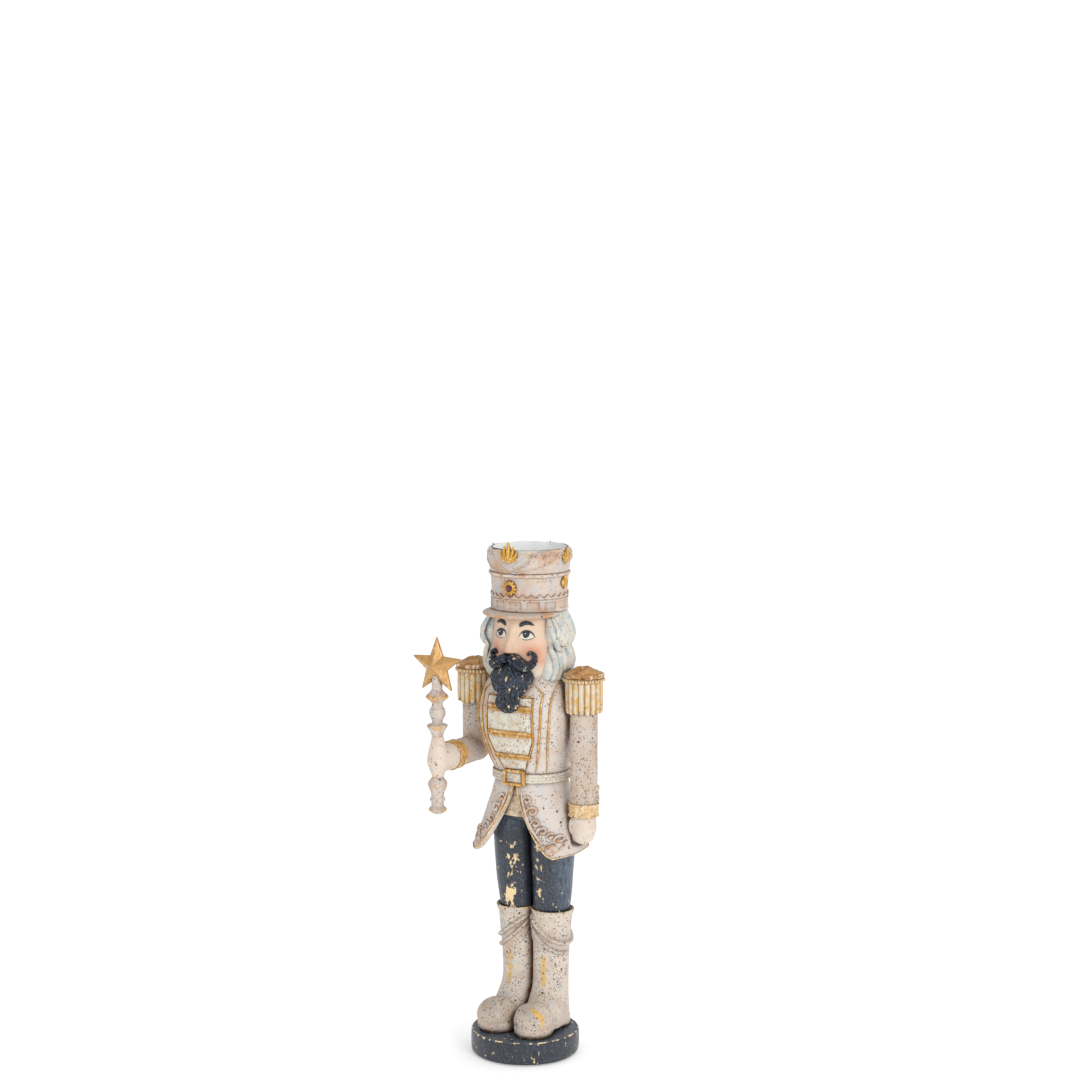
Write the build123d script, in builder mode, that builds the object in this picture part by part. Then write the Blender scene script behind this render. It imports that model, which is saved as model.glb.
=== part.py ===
"""Nutcracker soldier figure with a tea-light cup in its hat.

A painted cast-resin figure, made of separate castings that are pinned together on steel rods and glued,
standing on a round plinth. The glass cup in the hat lifts out.

Frame: millimetres, +Z up, origin at the centre of the plinth's underside. The figure faces -Y,
so its left hand is at +X. Paired pieces are mirrored in the plane X = 0.
"""
from build123d import *
import os
from math import cos, radians, sin

# ---- driving dimensions ----
rim_z = 320.0              # top of the hat, where the cup's lip rests
plinth_r = 33.9
pad_h = 1.0                # felt pad under the plinth
plinth_top = 15.0
boot_top = 90.0
leg_top = 150.0
hem_z = 129.0              # lower edge of the coat's skirt
waist_z = 174.0            # where coat skirt and torso meet
belt_top = 181.0
neck_z = 246.0
shoulder_z = 241.5         # top of the sleeves
hat_base = 281.6

leg_rod_r = 2.0
spine_rod_r = 3.0
arm_pin_r = 2.5
wrist_pin_r = 1.5

arm_x, arm_y = 38.8, 5.6   # axis of each upper arm
sleeve_r = 8.6
forearm_z = 190.0          # height of the bent right forearm
staff_y = -40.5            # the staff stands in the right fist, below the shoulder line
hat_y = 6.2                # axis of hat and head, a little behind the plinth's centre

tealight_bore_r = 20.4     # takes a 38 to 39 mm tea light
glass_wall = 1.5
cup_floor_z = 299.0
cup_flare_z = 314.0        # above this the glass flares out to its lip
cup_gap = 0.3              # clearance between the glass and the hat's pocket

os.makedirs("parts", exist_ok=True)


def save(part, name):
    """Labels a finished piece and writes it as its own STEP file."""
    part.label = name
    export_step(part, f"parts/{name}.step")


def section_loft(sections, grow=0.0):
    """Solid through rounded sections (z, half width, half depth, centre y, corner radius), grown sideways."""
    with BuildPart() as body:
        for z, half_w, half_d, y, corner in sections:
            with BuildSketch(Plane.XY.offset(z)):
                with Locations((0, y)):
                    RectangleRounded(2 * (half_w + grow), 2 * (half_d + grow), corner + grow)
        loft()
    return body.part


def oval_loft(sections, grow=0.0):
    """Solid through oval sections (z, centre x, centre y, half width, half depth), grown sideways."""
    with BuildPart() as body:
        for z, x, y, half_w, half_d in sections:
            with BuildSketch(Plane.XY.offset(z)):
                with Locations((x, y)):
                    Ellipse(half_w + grow, half_d + grow)
        loft()
    return body.part


def mirrored(part):
    """The same piece on the figure's other side."""
    return part.mirror(Plane.YZ)


def front_prism(*outlines, depth=60.0):
    """Closed outlines in the X-Z plane, each extruded from the axis plane towards the figure's front."""
    with BuildPart() as prism:
        with BuildSketch(Plane.XZ):
            for outline in outlines:
                with BuildLine():
                    Polyline(*outline, close=True)
                make_face()
        extrude(amount=depth)
    return prism.part


def strip(points, width):
    """Outline of a flat strip along an open line of (x, z) points, its ends cut square to X or Z."""
    half = width / 2
    steep = abs(points[-1][1] - points[0][1]) > abs(points[-1][0] - points[0][0])
    dx, dz = (half, 0) if steep else (0, half)
    return [(x + dx, z + dz) for x, z in points] + [(x - dx, z - dz) for x, z in reversed(points)]


def across(outline):
    """An (x, z) outline mirrored to the other side of the figure."""
    return [(-x, z) for x, z in reversed(outline)]


# ---- plinth, its felt pad and the steel rods ----
leg_x, leg_y = 11.6, 13.0      # where the steel rod runs in each leg
rod_spots = [(-leg_x, leg_y), (leg_x, leg_y)]
rod_foot = 6.0
leg_rod_top = 158.0

with BuildPart() as leg_rods:
    with BuildSketch(Plane.XY.offset(rod_foot)):
        with Locations(*rod_spots):
            Circle(leg_rod_r)
    extrude(amount=leg_rod_top - rod_foot)
save(leg_rods.part, "leg_rods")

with BuildPart() as base_pad:
    Cylinder(plinth_r - 3.5, pad_h, align=(Align.CENTER, Align.CENTER, Align.MIN))
save(base_pad.part, "base_felt_pad")

with BuildPart() as plinth:
    with BuildSketch(Plane.XY.offset(pad_h)):
        Circle(plinth_r)
    extrude(amount=plinth_top - pad_h)
    fillet(plinth.faces().sort_by(Axis.Z)[-1].edges(), 1.3)
    fillet(plinth.faces().sort_by(Axis.Z)[0].edges(), 3.0)
    add(leg_rods.part, mode=Mode.SUBTRACT)
save(plinth.part, "plinth")

# ---- boots ----
toe_y, toe_r, toe_z = -11.4, 12.4, 25.0
with BuildPart() as boot_left:
    # leg of the boot, widening to its top
    for z, x, y, r in [(22.0, 11.0, 14.6, 10.9), (36.0, 10.6, 14.4, 10.5), (61.0, 11.3, 13.7, 11.2),
                       (boot_top - 3, 12.3, 13.0, 12.2)]:
        with BuildSketch(Plane.XY.offset(z)):
            with Locations((x, y)):
                Circle(r)
    loft()
    with BuildSketch(Plane.XY.offset(boot_top - 3)):
        with Locations((12.75, 13.0)):
            Circle(12.7)
    extrude(amount=3)
    # sole and instep
    with BuildSketch(Plane.XY.offset(plinth_top)):
        with Locations((12.2, (toe_y + 14.6) / 2)):
            SlotCenterToCenter(26.0 + 1e-3, 23.4, rotation=90)
    extrude(amount=12.0)
    # round toe cap
    with Locations((12.4, toe_y, toe_z - 1.0)):
        Sphere(toe_r - 1.0)
    # nothing crosses the middle of the figure, or reaches below the plinth's top
    with Locations((-20.0, 0, 0)):
        Box(40.0, 90.0, 240.0, mode=Mode.SUBTRACT)
    with Locations((0, 0, plinth_top)):
        Box(120.0, 120.0, 20.0, align=(Align.CENTER, Align.CENTER, Align.MAX), mode=Mode.SUBTRACT)
    add(leg_rods.part, mode=Mode.SUBTRACT)
save(boot_left.part, "boot_left")
save(mirrored(boot_left.part), "boot_right")

# ---- trouser legs and the seat block above them ----
with BuildPart() as trouser_left:
    add(oval_loft([(boot_top, 11.95, 12.8, 11.9, 11.9), (121.0, 13.5, 12.2, 13.4, 13.4),
                   (leg_top, 12.8, 10.6, 12.7, 14.6)]))
    with Locations((-20.0, 0, 120.0)):
        Box(40.0, 90.0, 120.0, mode=Mode.SUBTRACT)
    add(leg_rods.part, mode=Mode.SUBTRACT)
save(trouser_left.part, "trouser_leg_left")
save(mirrored(trouser_left.part), "trouser_leg_right")

with BuildPart() as spine_rod:
    with BuildSketch(Plane.XY.offset(162.0)):
        with Locations((0, hat_y)):
            Circle(spine_rod_r)
    extrude(amount=290.0 - 162.0)
save(spine_rod.part, "spine_rod")

with BuildPart() as seat_block:
    with BuildSketch(Plane.XY.offset(leg_top)):
        with Locations((0, 9.5)):
            Ellipse(20.5, 16.5)
    extrude(amount=waist_z - leg_top)
    add(leg_rods.part, mode=Mode.SUBTRACT)
    add(spine_rod.part, mode=Mode.SUBTRACT)
save(seat_block.part, "seat_block")

# ---- coat skirt: a flared shell, open in a V at the front ----
skirt_outside = [(hem_z, 0, 8.0, 39.0, 32.5), (152.0, 0, 8.6, 30.0, 26.0), (waist_z, 0, 9.0, 23.5, 21.0)]
skirt_inside = [(hem_z, 0, 8.0, 35.6, 29.1), (152.0, 0, 8.9, 26.4, 22.4), (waist_z, 0, 9.5, 20.5, 16.5)]
front_edge = [(0.6, waist_z + 1), (3.0, 165.0), (6.4, 157.0), (14.6, 143.0), (20.6, 135.0), (24.2, 131.2),
              (28.0, hem_z)]
opening = front_edge + [(28.0, hem_z - 9)]
opening_outline = opening + across(opening)
opening_prism = front_prism(opening_outline)
skirt_skin = oval_loft(skirt_outside)

with BuildPart() as coat_skirt:
    add(skirt_skin)
    add(oval_loft(skirt_inside), mode=Mode.SUBTRACT)
    add(opening_prism, mode=Mode.SUBTRACT)

# waistcoat hem that shows between the tails
apron_hem = 153.5
with BuildPart() as waistcoat_hem:
    add(oval_loft([(apron_hem, 0, 9.0, 25.0, 21.4), (waist_z, 0, 9.4, 21.6, 18.3)]))
    with BuildSketch(Plane.XY.offset(apron_hem - 1)):
        with Locations((0, 9.5)):
            Ellipse(20.5, 16.5)
    extrude(amount=waist_z - apron_hem + 2, mode=Mode.SUBTRACT)
    add(opening_prism, mode=Mode.INTERSECT)
save(waistcoat_hem.part, "waistcoat_hem")

# raised gold cord along the front edges, and scrolls beside it
edge_w = 1.6
edge_outline = front_edge + [(x + edge_w, z) for x, z in reversed(front_edge)]
trim_height = 0.8
with BuildPart() as skirt_trim:
    add(oval_loft(skirt_outside, trim_height))
    add(skirt_skin, mode=Mode.SUBTRACT)
    add(front_prism(edge_outline, across(edge_outline)), mode=Mode.INTERSECT)
save(skirt_trim.part, "skirt_edge_cord")

scroll_beads = [(8.6, 163.5, 2.0), (12.4, 157.0, 2.6), (15.6, 149.5, 2.2), (19.6, 144.6, 2.4),
                (24.0, 143.0, 2.0), (28.4, 141.0, 2.4), (26.0, 135.0, 3.4)]
with BuildPart() as scroll_prism:
    with BuildSketch(Plane.XZ):
        for x, z, r in scroll_beads:
            with Locations((x, z)):
                Circle(r)
        for (x0, z0, _), (x1, z1, _) in zip(scroll_beads, scroll_beads[1:]):
            with BuildLine():
                Polyline((x0, z0 + 0.6), (x1, z1 + 0.6), (x1, z1 - 0.6), (x0, z0 - 0.6), close=True)
            make_face()
    extrude(amount=60.0)
with BuildPart() as scroll_left:
    add(oval_loft(skirt_outside, 1.0))
    add(skirt_skin, mode=Mode.SUBTRACT)
    add(scroll_prism.part, mode=Mode.INTERSECT)
    add(skirt_trim.part, mode=Mode.SUBTRACT)
save(scroll_left.part, "skirt_scroll_left")
save(mirrored(scroll_left.part), "skirt_scroll_right")

# ---- torso ----
waist_section = (23.5, 21.0, 9.0, 20.0)
torso_sections = [(belt_top, *waist_section), (191.0, 25.6, 22.0, 6.4, 19.5), (203.0, 28.0, 22.4, 3.4, 18.5),
                  (213.0, 29.2, 22.6, 2.6, 18.0), (224.0, 28.8, 22.0, 2.6, 17.5),
                  (235.0, 25.5, 19.0, 3.2, 16.0), (242.0, 20.5, 16.0, 4.0, 14.0), (neck_z, 15.5, 13.0, 4.6, 12.0)]
torso_skin = section_loft(torso_sections)
pin_z = 230.0

with BuildPart() as arm_pins:
    for side in (-1, 1):
        with BuildSketch(Plane.YZ.offset(side * 14.0)):
            with Locations((arm_y, pin_z)):
                Circle(arm_pin_r)
        extrude(amount=side * (arm_x - 14.0))
save(arm_pins.part, "arm_pins")

with BuildPart() as torso:
    add(torso_skin)
    with BuildSketch(Plane.XY.offset(waist_z)):
        with Locations((0, 9.0)):
            RectangleRounded(47.0, 42.0, 20.0)
    extrude(amount=belt_top - waist_z)
    add(spine_rod.part, mode=Mode.SUBTRACT)
    add(arm_pins.part, mode=Mode.SUBTRACT)
save(torso.part, "torso")

# ---- belt and buckle ----
belt_t = 1.3
with BuildPart() as belt:
    with BuildSketch(Plane.XY.offset(waist_z)):
        with Locations((0, 9.0)):
            RectangleRounded(47.0 + 2 * belt_t, 42.0 + 2 * belt_t, 20.0 + belt_t)
            RectangleRounded(47.0, 42.0, 20.0, mode=Mode.SUBTRACT)
    extrude(amount=belt_top - waist_z)
save(belt.part, "belt")

buckle_z = 178.0
with BuildPart() as belt_buckle:
    with BuildSketch(Plane.XZ.offset(11.0)):
        with Locations((0, buckle_z)):
            RectangleRounded(15.6, 10.6, 0.8)
            Rectangle(11.0, 6.4, mode=Mode.SUBTRACT)
    extrude(amount=4.2)
    for keep_out in (belt.part, torso.part, coat_skirt.part, skirt_trim.part, waistcoat_hem.part):
        add(keep_out, mode=Mode.SUBTRACT)
save(belt_buckle.part, "belt_buckle")

# ---- front panel, its cross bars and the gold piping ----
panel_t = 0.8
panel_right = [(15.4, 229.5), (15.4, 203.0), (7.6, 183.4)]
panel_outline = panel_right + across(panel_right)
torso_panel = section_loft(torso_sections, panel_t)
with BuildPart() as chest_panel:
    add(torso_panel)
    add(torso_skin, mode=Mode.SUBTRACT)
    add(front_prism(panel_outline), mode=Mode.INTERSECT)
    add(belt_buckle.part, mode=Mode.SUBTRACT)
save(chest_panel.part, "chest_panel")

bar_t = 1.9
bars = [(222.4, 15.4, 4.0), (206.7, 15.4, 4.0), (192.2, 12.2, 3.4)]     # height, half length, width
torso_bars = section_loft(torso_sections, bar_t)
with BuildPart() as chest_bars:
    add(torso_bars)
    add(torso_panel, mode=Mode.SUBTRACT)
    add(front_prism(*[strip([(-half, z), (half, z)], w) for z, half, w in bars]), mode=Mode.INTERSECT)
save(chest_bars.part, "chest_bars")

piping_t = 1.1
inner_pipe = strip([(16.6, 236.0), (20.4, 230.0), (20.4, 212.0), (17.6, 196.0), (13.2, 182.0)], 1.5)
outer_pipe = strip([(24.6, 233.0), (24.8, 214.0), (22.4, 198.0), (18.6, 182.0)], 1.5)
with BuildPart() as coat_piping:
    add(section_loft(torso_sections, piping_t))
    add(torso_skin, mode=Mode.SUBTRACT)
    add(front_prism(inner_pipe, outer_pipe, across(inner_pipe), across(outer_pipe)), mode=Mode.INTERSECT)
save(coat_piping.part, "coat_piping")

# ---- arms ----
def sleeve(part, name):
    """Cuts the arm and wrist pin holes into a sleeve and writes it."""
    with BuildPart() as cut:
        add(part)
        add(arm_pins.part, mode=Mode.SUBTRACT)
        add(wrist_pins.part, mode=Mode.SUBTRACT)
    save(cut.part, name)


cuff_low, cuff_high = 154.5, 163.0     # gold band on the straight left arm
cuff_back, cuff_front = -19.0, -27.0    # and on the bent right arm
hand_low = 137.0
hand_front = -47.4

with BuildPart() as wrist_pins:
    with BuildSketch(Plane.XY.offset(147.0)):
        with Locations((arm_x, arm_y)):
            Circle(wrist_pin_r)
    extrude(amount=16.0)
    with BuildSketch(Plane.XZ.offset(18.0)):
        with Locations((-arm_x, forearm_z)):
            Circle(wrist_pin_r)
    extrude(amount=16.0)
save(wrist_pins.part, "wrist_pins")

with BuildPart() as left_tube:
    with BuildSketch(Plane.XY.offset(cuff_low)):
        with Locations((arm_x, arm_y)):
            Circle(sleeve_r)
    extrude(amount=shoulder_z - cuff_low)
sleeve(left_tube.part, "sleeve_left")

with BuildPart() as right_tube:
    with BuildSketch(Plane.XY.offset(forearm_z)):
        with Locations((-arm_x, arm_y)):
            Circle(sleeve_r)
    extrude(amount=shoulder_z - forearm_z)
    with BuildSketch(Plane.XZ.offset(-arm_y)):
        with Locations((-arm_x, forearm_z)):
            Circle(sleeve_r)
    extrude(amount=arm_y - cuff_front)
    with Locations((-arm_x, arm_y, forearm_z)):
        Sphere(sleeve_r)
sleeve(right_tube.part, "sleeve_right")

cuff_t = 1.1
with BuildPart() as cuff_band_left:
    with BuildSketch(Plane.XY.offset(cuff_low)):
        with Locations((arm_x, arm_y)):
            Circle(sleeve_r + cuff_t)
            Circle(sleeve_r, mode=Mode.SUBTRACT)
    extrude(amount=cuff_high - cuff_low)
save(cuff_band_left.part, "cuff_band_left")

with BuildPart() as cuff_band_right:
    with BuildSketch(Plane.XZ.offset(-cuff_back)):
        with Locations((-arm_x, forearm_z)):
            Circle(sleeve_r + cuff_t)
            Circle(sleeve_r, mode=Mode.SUBTRACT)
    extrude(amount=cuff_back - cuff_front)
save(cuff_band_right.part, "cuff_band_right")

# closed hands, each a rounded fist turned about the forearm's axis
with BuildPart() as hand_left:
    with BuildSketch(Plane.XZ):
        with BuildLine():
            Line((0, cuff_low), (7.6, cuff_low))
            Spline((7.6, cuff_low), (8.2, 147.0), (6.4, 140.2), (0, hand_low), tangents=((0.2, -1), (-1, 0)))
            Line((0, hand_low), (0, cuff_low))
        make_face()
    revolve(axis=Axis.Z)
with BuildPart() as hand_left_placed:
    add(hand_left.part.moved(Location((arm_x, arm_y, 0))))
    add(wrist_pins.part, mode=Mode.SUBTRACT)
save(hand_left_placed.part, "hand_left")

# the skirt has a shallow hollow where this hand lies against it
with BuildPart() as skirt_hollowed:
    add(coat_skirt.part)
    with Locations((arm_x, arm_y, hand_low - 0.4)):
        Cylinder(8.6, 30.0, align=(Align.CENTER, Align.CENTER, Align.MIN), mode=Mode.SUBTRACT)
save(skirt_hollowed.part, "coat_skirt")

# ---- staff and star ----
staff_foot = 156.0
staff_profile = [(0, staff_foot), (4.0, 156.9), (5.8, 158.9), (5.2, 160.2), (3.9, 161.2), (3.9, 163.6),
                 (4.9, 165.3), (4.1, 167.0), (4.2, 169.6), (6.0, 174.6), (3.0, 179.6), (3.0, 202.0), (3.7, 205.4),
                 (6.4, 211.0), (6.2, 211.9), (3.2, 213.2), (3.4, 215.4), (5.1, 219.6), (3.9, 223.0), (3.3, 224.6),
                 (3.3, 226.0), (7.1, 229.0), (7.1, 230.0), (3.1, 234.4), (3.1, 243.0), (0, 243.0)]
with BuildPart() as staff:
    with BuildSketch(Plane.XZ):
        with BuildLine():
            Polyline(*staff_profile, close=True)
        make_face()
    revolve(axis=Axis.Z)
staff_placed = staff.part.moved(Location((-arm_x, staff_y, 0)))

with BuildPart() as hand_right:
    with BuildSketch(Plane.XY):
        with BuildLine():
            Line((0, cuff_front), (8.2, cuff_front))
            Spline((8.2, cuff_front), (8.1, -33.0), (7.4, -39.0), (5.4, -44.8), (0, hand_front),
                   tangents=((0.0, -1), (-1, 0)))
            Line((0, hand_front), (0, cuff_front))
        make_face()
    revolve(axis=Axis.Y)
with BuildPart() as hand_right_placed:
    add(hand_right.part.moved(Location((-arm_x, 0, forearm_z))))
    add(wrist_pins.part, mode=Mode.SUBTRACT)
    add(staff_placed, mode=Mode.SUBTRACT)
save(hand_right_placed.part, "hand_right")

star_z, star_r, star_notch_r = 248.4, 17.3, 7.7
star_rim, star_peak = 1.0, 4.6
star_points = [((star_r if i % 2 == 0 else star_notch_r) * sin(radians(36 * i)),
                star_z + (star_r if i % 2 == 0 else star_notch_r) * cos(radians(36 * i))) for i in range(10)]
with BuildPart() as star_half:
    with BuildSketch(Plane.XZ.offset(star_rim)) as star_face:
        with BuildLine():
            Polyline(*star_points, close=True)
        make_face()
    extrude(amount=-star_rim)
    loft(sections=[star_face.sketch.faces()[0], Vertex(0, -star_peak, star_z)])
with BuildPart() as star:
    add(star_half.part.moved(Location((-arm_x, staff_y, 0))))
    add(star_half.part.mirror(Plane.XZ).moved(Location((-arm_x, staff_y, 0))))
save(star.part, "star")

with BuildPart() as staff_cut:
    add(staff_placed)
    add(star.part, mode=Mode.SUBTRACT)
save(staff_cut.part.solids().sort_by(Axis.Z)[0], "staff")

# ---- epaulettes ----
fringe_low, fringe_r, cap_r = 219.5, 11.2, 12.7
for side, name in ((-1, "right"), (1, "left")):
    with BuildPart() as cap:
        with BuildSketch(Plane.XY.offset(shoulder_z)):
            with Locations((side * arm_x, arm_y)):
                Circle(cap_r)
        extrude(amount=4.0)
        fillet(cap.faces().sort_by(Axis.Z)[-1].edges(), 1.5)
        for r, z in ((9.6, 1.6), (6.4, 1.4)):
            with BuildSketch(cap.faces().sort_by(Axis.Z)[-1]):
                Circle(r)
            extrude(amount=z)
            fillet(cap.faces().sort_by(Axis.Z)[-1].edges(), 1.2)
    save(cap.part, f"epaulette_cap_{name}")
    with BuildPart() as fringe:
        with BuildSketch(Plane.XY.offset(fringe_low)):
            with Locations((side * arm_x, arm_y)):
                Circle(fringe_r)
                Circle(sleeve_r, mode=Mode.SUBTRACT)
        extrude(amount=shoulder_z - fringe_low)
        add(torso_panel, mode=Mode.SUBTRACT)
        add(arm_pins.part, mode=Mode.SUBTRACT)
    save(fringe.part, f"epaulette_fringe_{name}")

# ---- head, hair, moustache and beard ----
head_sections = [(232.0, 0, 4.0, 13.0, 12.0), (238.0, 0, 3.4, 18.5, 17.0), (250.0, 0, 3.2, 21.8, 19.8),
                 (262.0, 0, 3.6, 22.2, 20.2), (272.0, 0, 4.6, 21.8, 19.8), (hat_base, 0, 5.4, 21.2, 19.4)]
head_skin = oval_loft(head_sections)
with BuildPart() as head:
    add(head_skin)
    for z, half_w, y in ((256.0, 3.9, -21.6), (268.0, 1.9, -17.2)):
        with BuildSketch(Plane.XY.offset(z)):
            with Locations((0, y)):
                Rectangle(2 * half_w, 8.0, align=(Align.CENTER, Align.MIN))
    loft()
    add(torso.part, mode=Mode.SUBTRACT)
    add(spine_rod.part, mode=Mode.SUBTRACT)
save(head.part, "head")

face_open_y = -7.0
with BuildPart() as hair:
    add(oval_loft([(234.0, 0, 6.0, 22.0, 22.0), (241.0, 0, 6.6, 24.0, 25.0), (250.0, 0, 7.2, 25.2, 27.2),
                   (258.0, 0, 6.0, 28.8, 27.0), (266.0, 0, 5.2, 30.2, 26.8), (276.0, 0, 6.0, 26.6, 25.2),
                   (hat_base - 0.6, 0, 6.2, 23.6, 22.6)]))
    for keep_out in (head.part, torso.part, spine_rod.part):
        add(keep_out, mode=Mode.SUBTRACT)
    with Locations((0, face_open_y, 260.0)):
        Box(80.0, 60.0, 80.0, align=(Align.CENTER, Align.MAX, Align.CENTER), mode=Mode.SUBTRACT)
hair_piece = hair.part.solids().sort_by(SortBy.VOLUME)[-1]
save(hair_piece, "hair")

moustache_half = [(0, 255.8), (3.6, 257.4), (7.6, 254.4), (11.4, 252.4), (12.2, 255.4), (11.0, 258.4),
                  (13.4, 260.0), (15.6, 257.2), (15.0, 251.0), (10.6, 246.6), (5.0, 247.6), (0, 249.6)]
moustache_outline = moustache_half + across(moustache_half)[1:-1]
with BuildPart() as moustache:
    add(oval_loft(head_sections, 3.6))
    add(head.part, mode=Mode.SUBTRACT)
    add(front_prism(moustache_outline), mode=Mode.INTERSECT)
save(moustache.part.solids().sort_by(SortBy.VOLUME)[-1], "moustache")

with BuildPart() as beard:
    add(oval_loft([(220.6, 0, -21.8, 4.6, 2.6), (225.0, 0, -21.6, 6.4, 3.6), (231.0, 0, -19.8, 8.6, 5.4),
                   (239.0, 0, -16.4, 13.0, 8.6), (246.0, 0, -15.0, 12.4, 9.0), (251.0, 0, -14.6, 9.6, 8.0)]))
    for keep_out in (head.part, torso_bars, moustache.part):
        add(keep_out, mode=Mode.SUBTRACT)
save(beard.part.solids().sort_by(SortBy.VOLUME)[-1], "beard")

# ---- hat ----
hat_profile = [(22.8, hat_base), (22.9, 283.5), (24.3, 304.3), (25.6, 318.6), (25.3, rim_z)]
pocket_r = tealight_bore_r + glass_wall + cup_gap
lip_r = 24.2                     # outside of the glass at its lip
with BuildPart() as hat_solid:
    with BuildSketch(Plane.XZ):
        with BuildLine():
            Polyline((0, hat_base), *hat_profile, (0, rim_z), close=True)
        make_face()
    revolve(axis=Axis.Z)
hat_outside = hat_solid.part.moved(Location((0, hat_y, 0)))
with BuildPart() as pocket:
    with BuildSketch(Plane.XZ):
        with BuildLine():
            Polyline((0, cup_floor_z), (pocket_r, cup_floor_z), (pocket_r, cup_flare_z - cup_gap),
                     (lip_r + cup_gap, rim_z), (0, rim_z), close=True)
        make_face()
    revolve(axis=Axis.Z)
with BuildPart() as hat_body:
    add(hat_outside)
    add(pocket.part.moved(Location((0, hat_y, 0))), mode=Mode.SUBTRACT)
    add(spine_rod.part, mode=Mode.SUBTRACT)
save(hat_body.part, "hat_body")


def hat_ring(z_low, z_high, outer_r):
    """A raised band around the hat between two heights."""
    with BuildPart() as ring:
        with BuildSketch(Plane.XY.offset(z_low)):
            with Locations((0, hat_y)):
                Circle(outer_r)
        extrude(amount=z_high - z_low)
        add(hat_outside, mode=Mode.SUBTRACT)
    return ring.part


band_top, scallop_top = 289.4, 293.2
cord_low, cord_high = 303.4, 305.4
save(hat_ring(hat_base, band_top, 24.2), "hat_band")
scallop_ring = hat_ring(band_top, scallop_top, 23.95)
save(scallop_ring, "hat_scallop_trim")
save(hat_ring(cord_low, cord_high, 25.4), "hat_cord")
drape_ring = hat_ring(cord_high, 317.0, 25.9)
save(drape_ring, "hat_drape")

with BuildPart() as visor:
    with BuildSketch(Plane.XY.offset(hat_base - 2.0)):
        with Locations((0, -1.6)):
            Ellipse(24.4, 25.4)
        with Locations((0, hat_y)):
            Circle(22.2, mode=Mode.SUBTRACT)
        with Locations((0, hat_y - 1.0)):
            Rectangle(80.0, 80.0, align=(Align.CENTER, Align.MIN), mode=Mode.SUBTRACT)
    extrude(amount=2.0)
    add(hair_piece, mode=Mode.SUBTRACT)
save(visor.part, "hat_visor")

# gilt palmettes on the rim at the four quarters
crest_low, crest_high = 312.6, 323.6
front, left, back, right = [Plane((0, hat_y, 0), x_dir=x, z_dir=z) for x, z in
                            (((1, 0, 0), (0, -1, 0)), ((0, 1, 0), (1, 0, 0)), ((-1, 0, 0), (0, 1, 0)),
                             ((0, -1, 0), (-1, 0, 0)))]
crest_half = [(4.2, 314.0), (6.0, 317.0), (3.6, 320.4), (1.5, crest_high)]
with BuildPart() as hat_crests:
    # the one at the front stands over the rim, the other three are smaller
    for plane, size in ((front, 1.0), (left, 0.72), (back, 0.72), (right, 0.72)):
        outline = [(0, crest_low), *crest_half, *across(crest_half)]
        with BuildSketch(plane.offset(24.6)):
            with BuildLine():
                Polyline(*[(x * size, crest_low + (z - crest_low) * size) for x, z in outline], close=True)
            make_face()
        extrude(amount=3.0)
    for keep_out in (hat_outside, drape_ring):
        add(keep_out, mode=Mode.SUBTRACT)
save(hat_crests.part, "hat_crests")

# a red stone in a gilt flower setting below the front palmette
gem_z, setting_r, gem_r = 296.9, 4.6, 2.5
with BuildPart() as gem_setting:
    with BuildSketch(front.offset(22.0)):
        with Locations((0, gem_z)):
            Circle(setting_r)
            Circle(gem_r, mode=Mode.SUBTRACT)
    extrude(amount=3.8)
    for keep_out in (hat_outside, scallop_ring):
        add(keep_out, mode=Mode.SUBTRACT)
save(gem_setting.part, "gem_setting")

with BuildPart() as gem:
    with BuildSketch(front.offset(22.0)):
        with Locations((0, gem_z)):
            Circle(gem_r)
    extrude(amount=4.6)
    chamfer(gem.faces().sort_by(Axis.Y)[0].edges(), 0.8)
    add(hat_outside, mode=Mode.SUBTRACT)
save(gem.part, "gem")

# gilt drops that hang from the cord on the other three sides
drop_half = [(1.6, 297.4), (3.4, 299.6), (2.6, cord_low)]
with BuildPart() as hat_drops:
    for plane in (left, back, right):
        with BuildSketch(plane.offset(22.0)):
            with BuildLine():
                Polyline((0, 295.4), *drop_half, *across(drop_half), close=True)
            make_face()
        extrude(amount=3.2)
    add(hat_outside, mode=Mode.SUBTRACT)
save(hat_drops.part, "hat_drops")

# ---- glass tea-light cup, loose in the hat's pocket ----
inner_lip_r = lip_r - glass_wall
with BuildPart() as tealight_cup:
    with BuildSketch(Plane.XZ):
        with BuildLine():
            Polyline((0, cup_floor_z), (tealight_bore_r + glass_wall, cup_floor_z),
                     (tealight_bore_r + glass_wall, cup_flare_z), (lip_r, rim_z + 0.4),
                     (inner_lip_r, rim_z + 0.4), (tealight_bore_r, cup_flare_z),
                     (tealight_bore_r, cup_floor_z + 2.0), (0, cup_floor_z + 2.0), close=True)
        make_face()
    revolve(axis=Axis.Z)
save(tealight_cup.part.moved(Location((0, hat_y, 0))), "tealight_cup")
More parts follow.
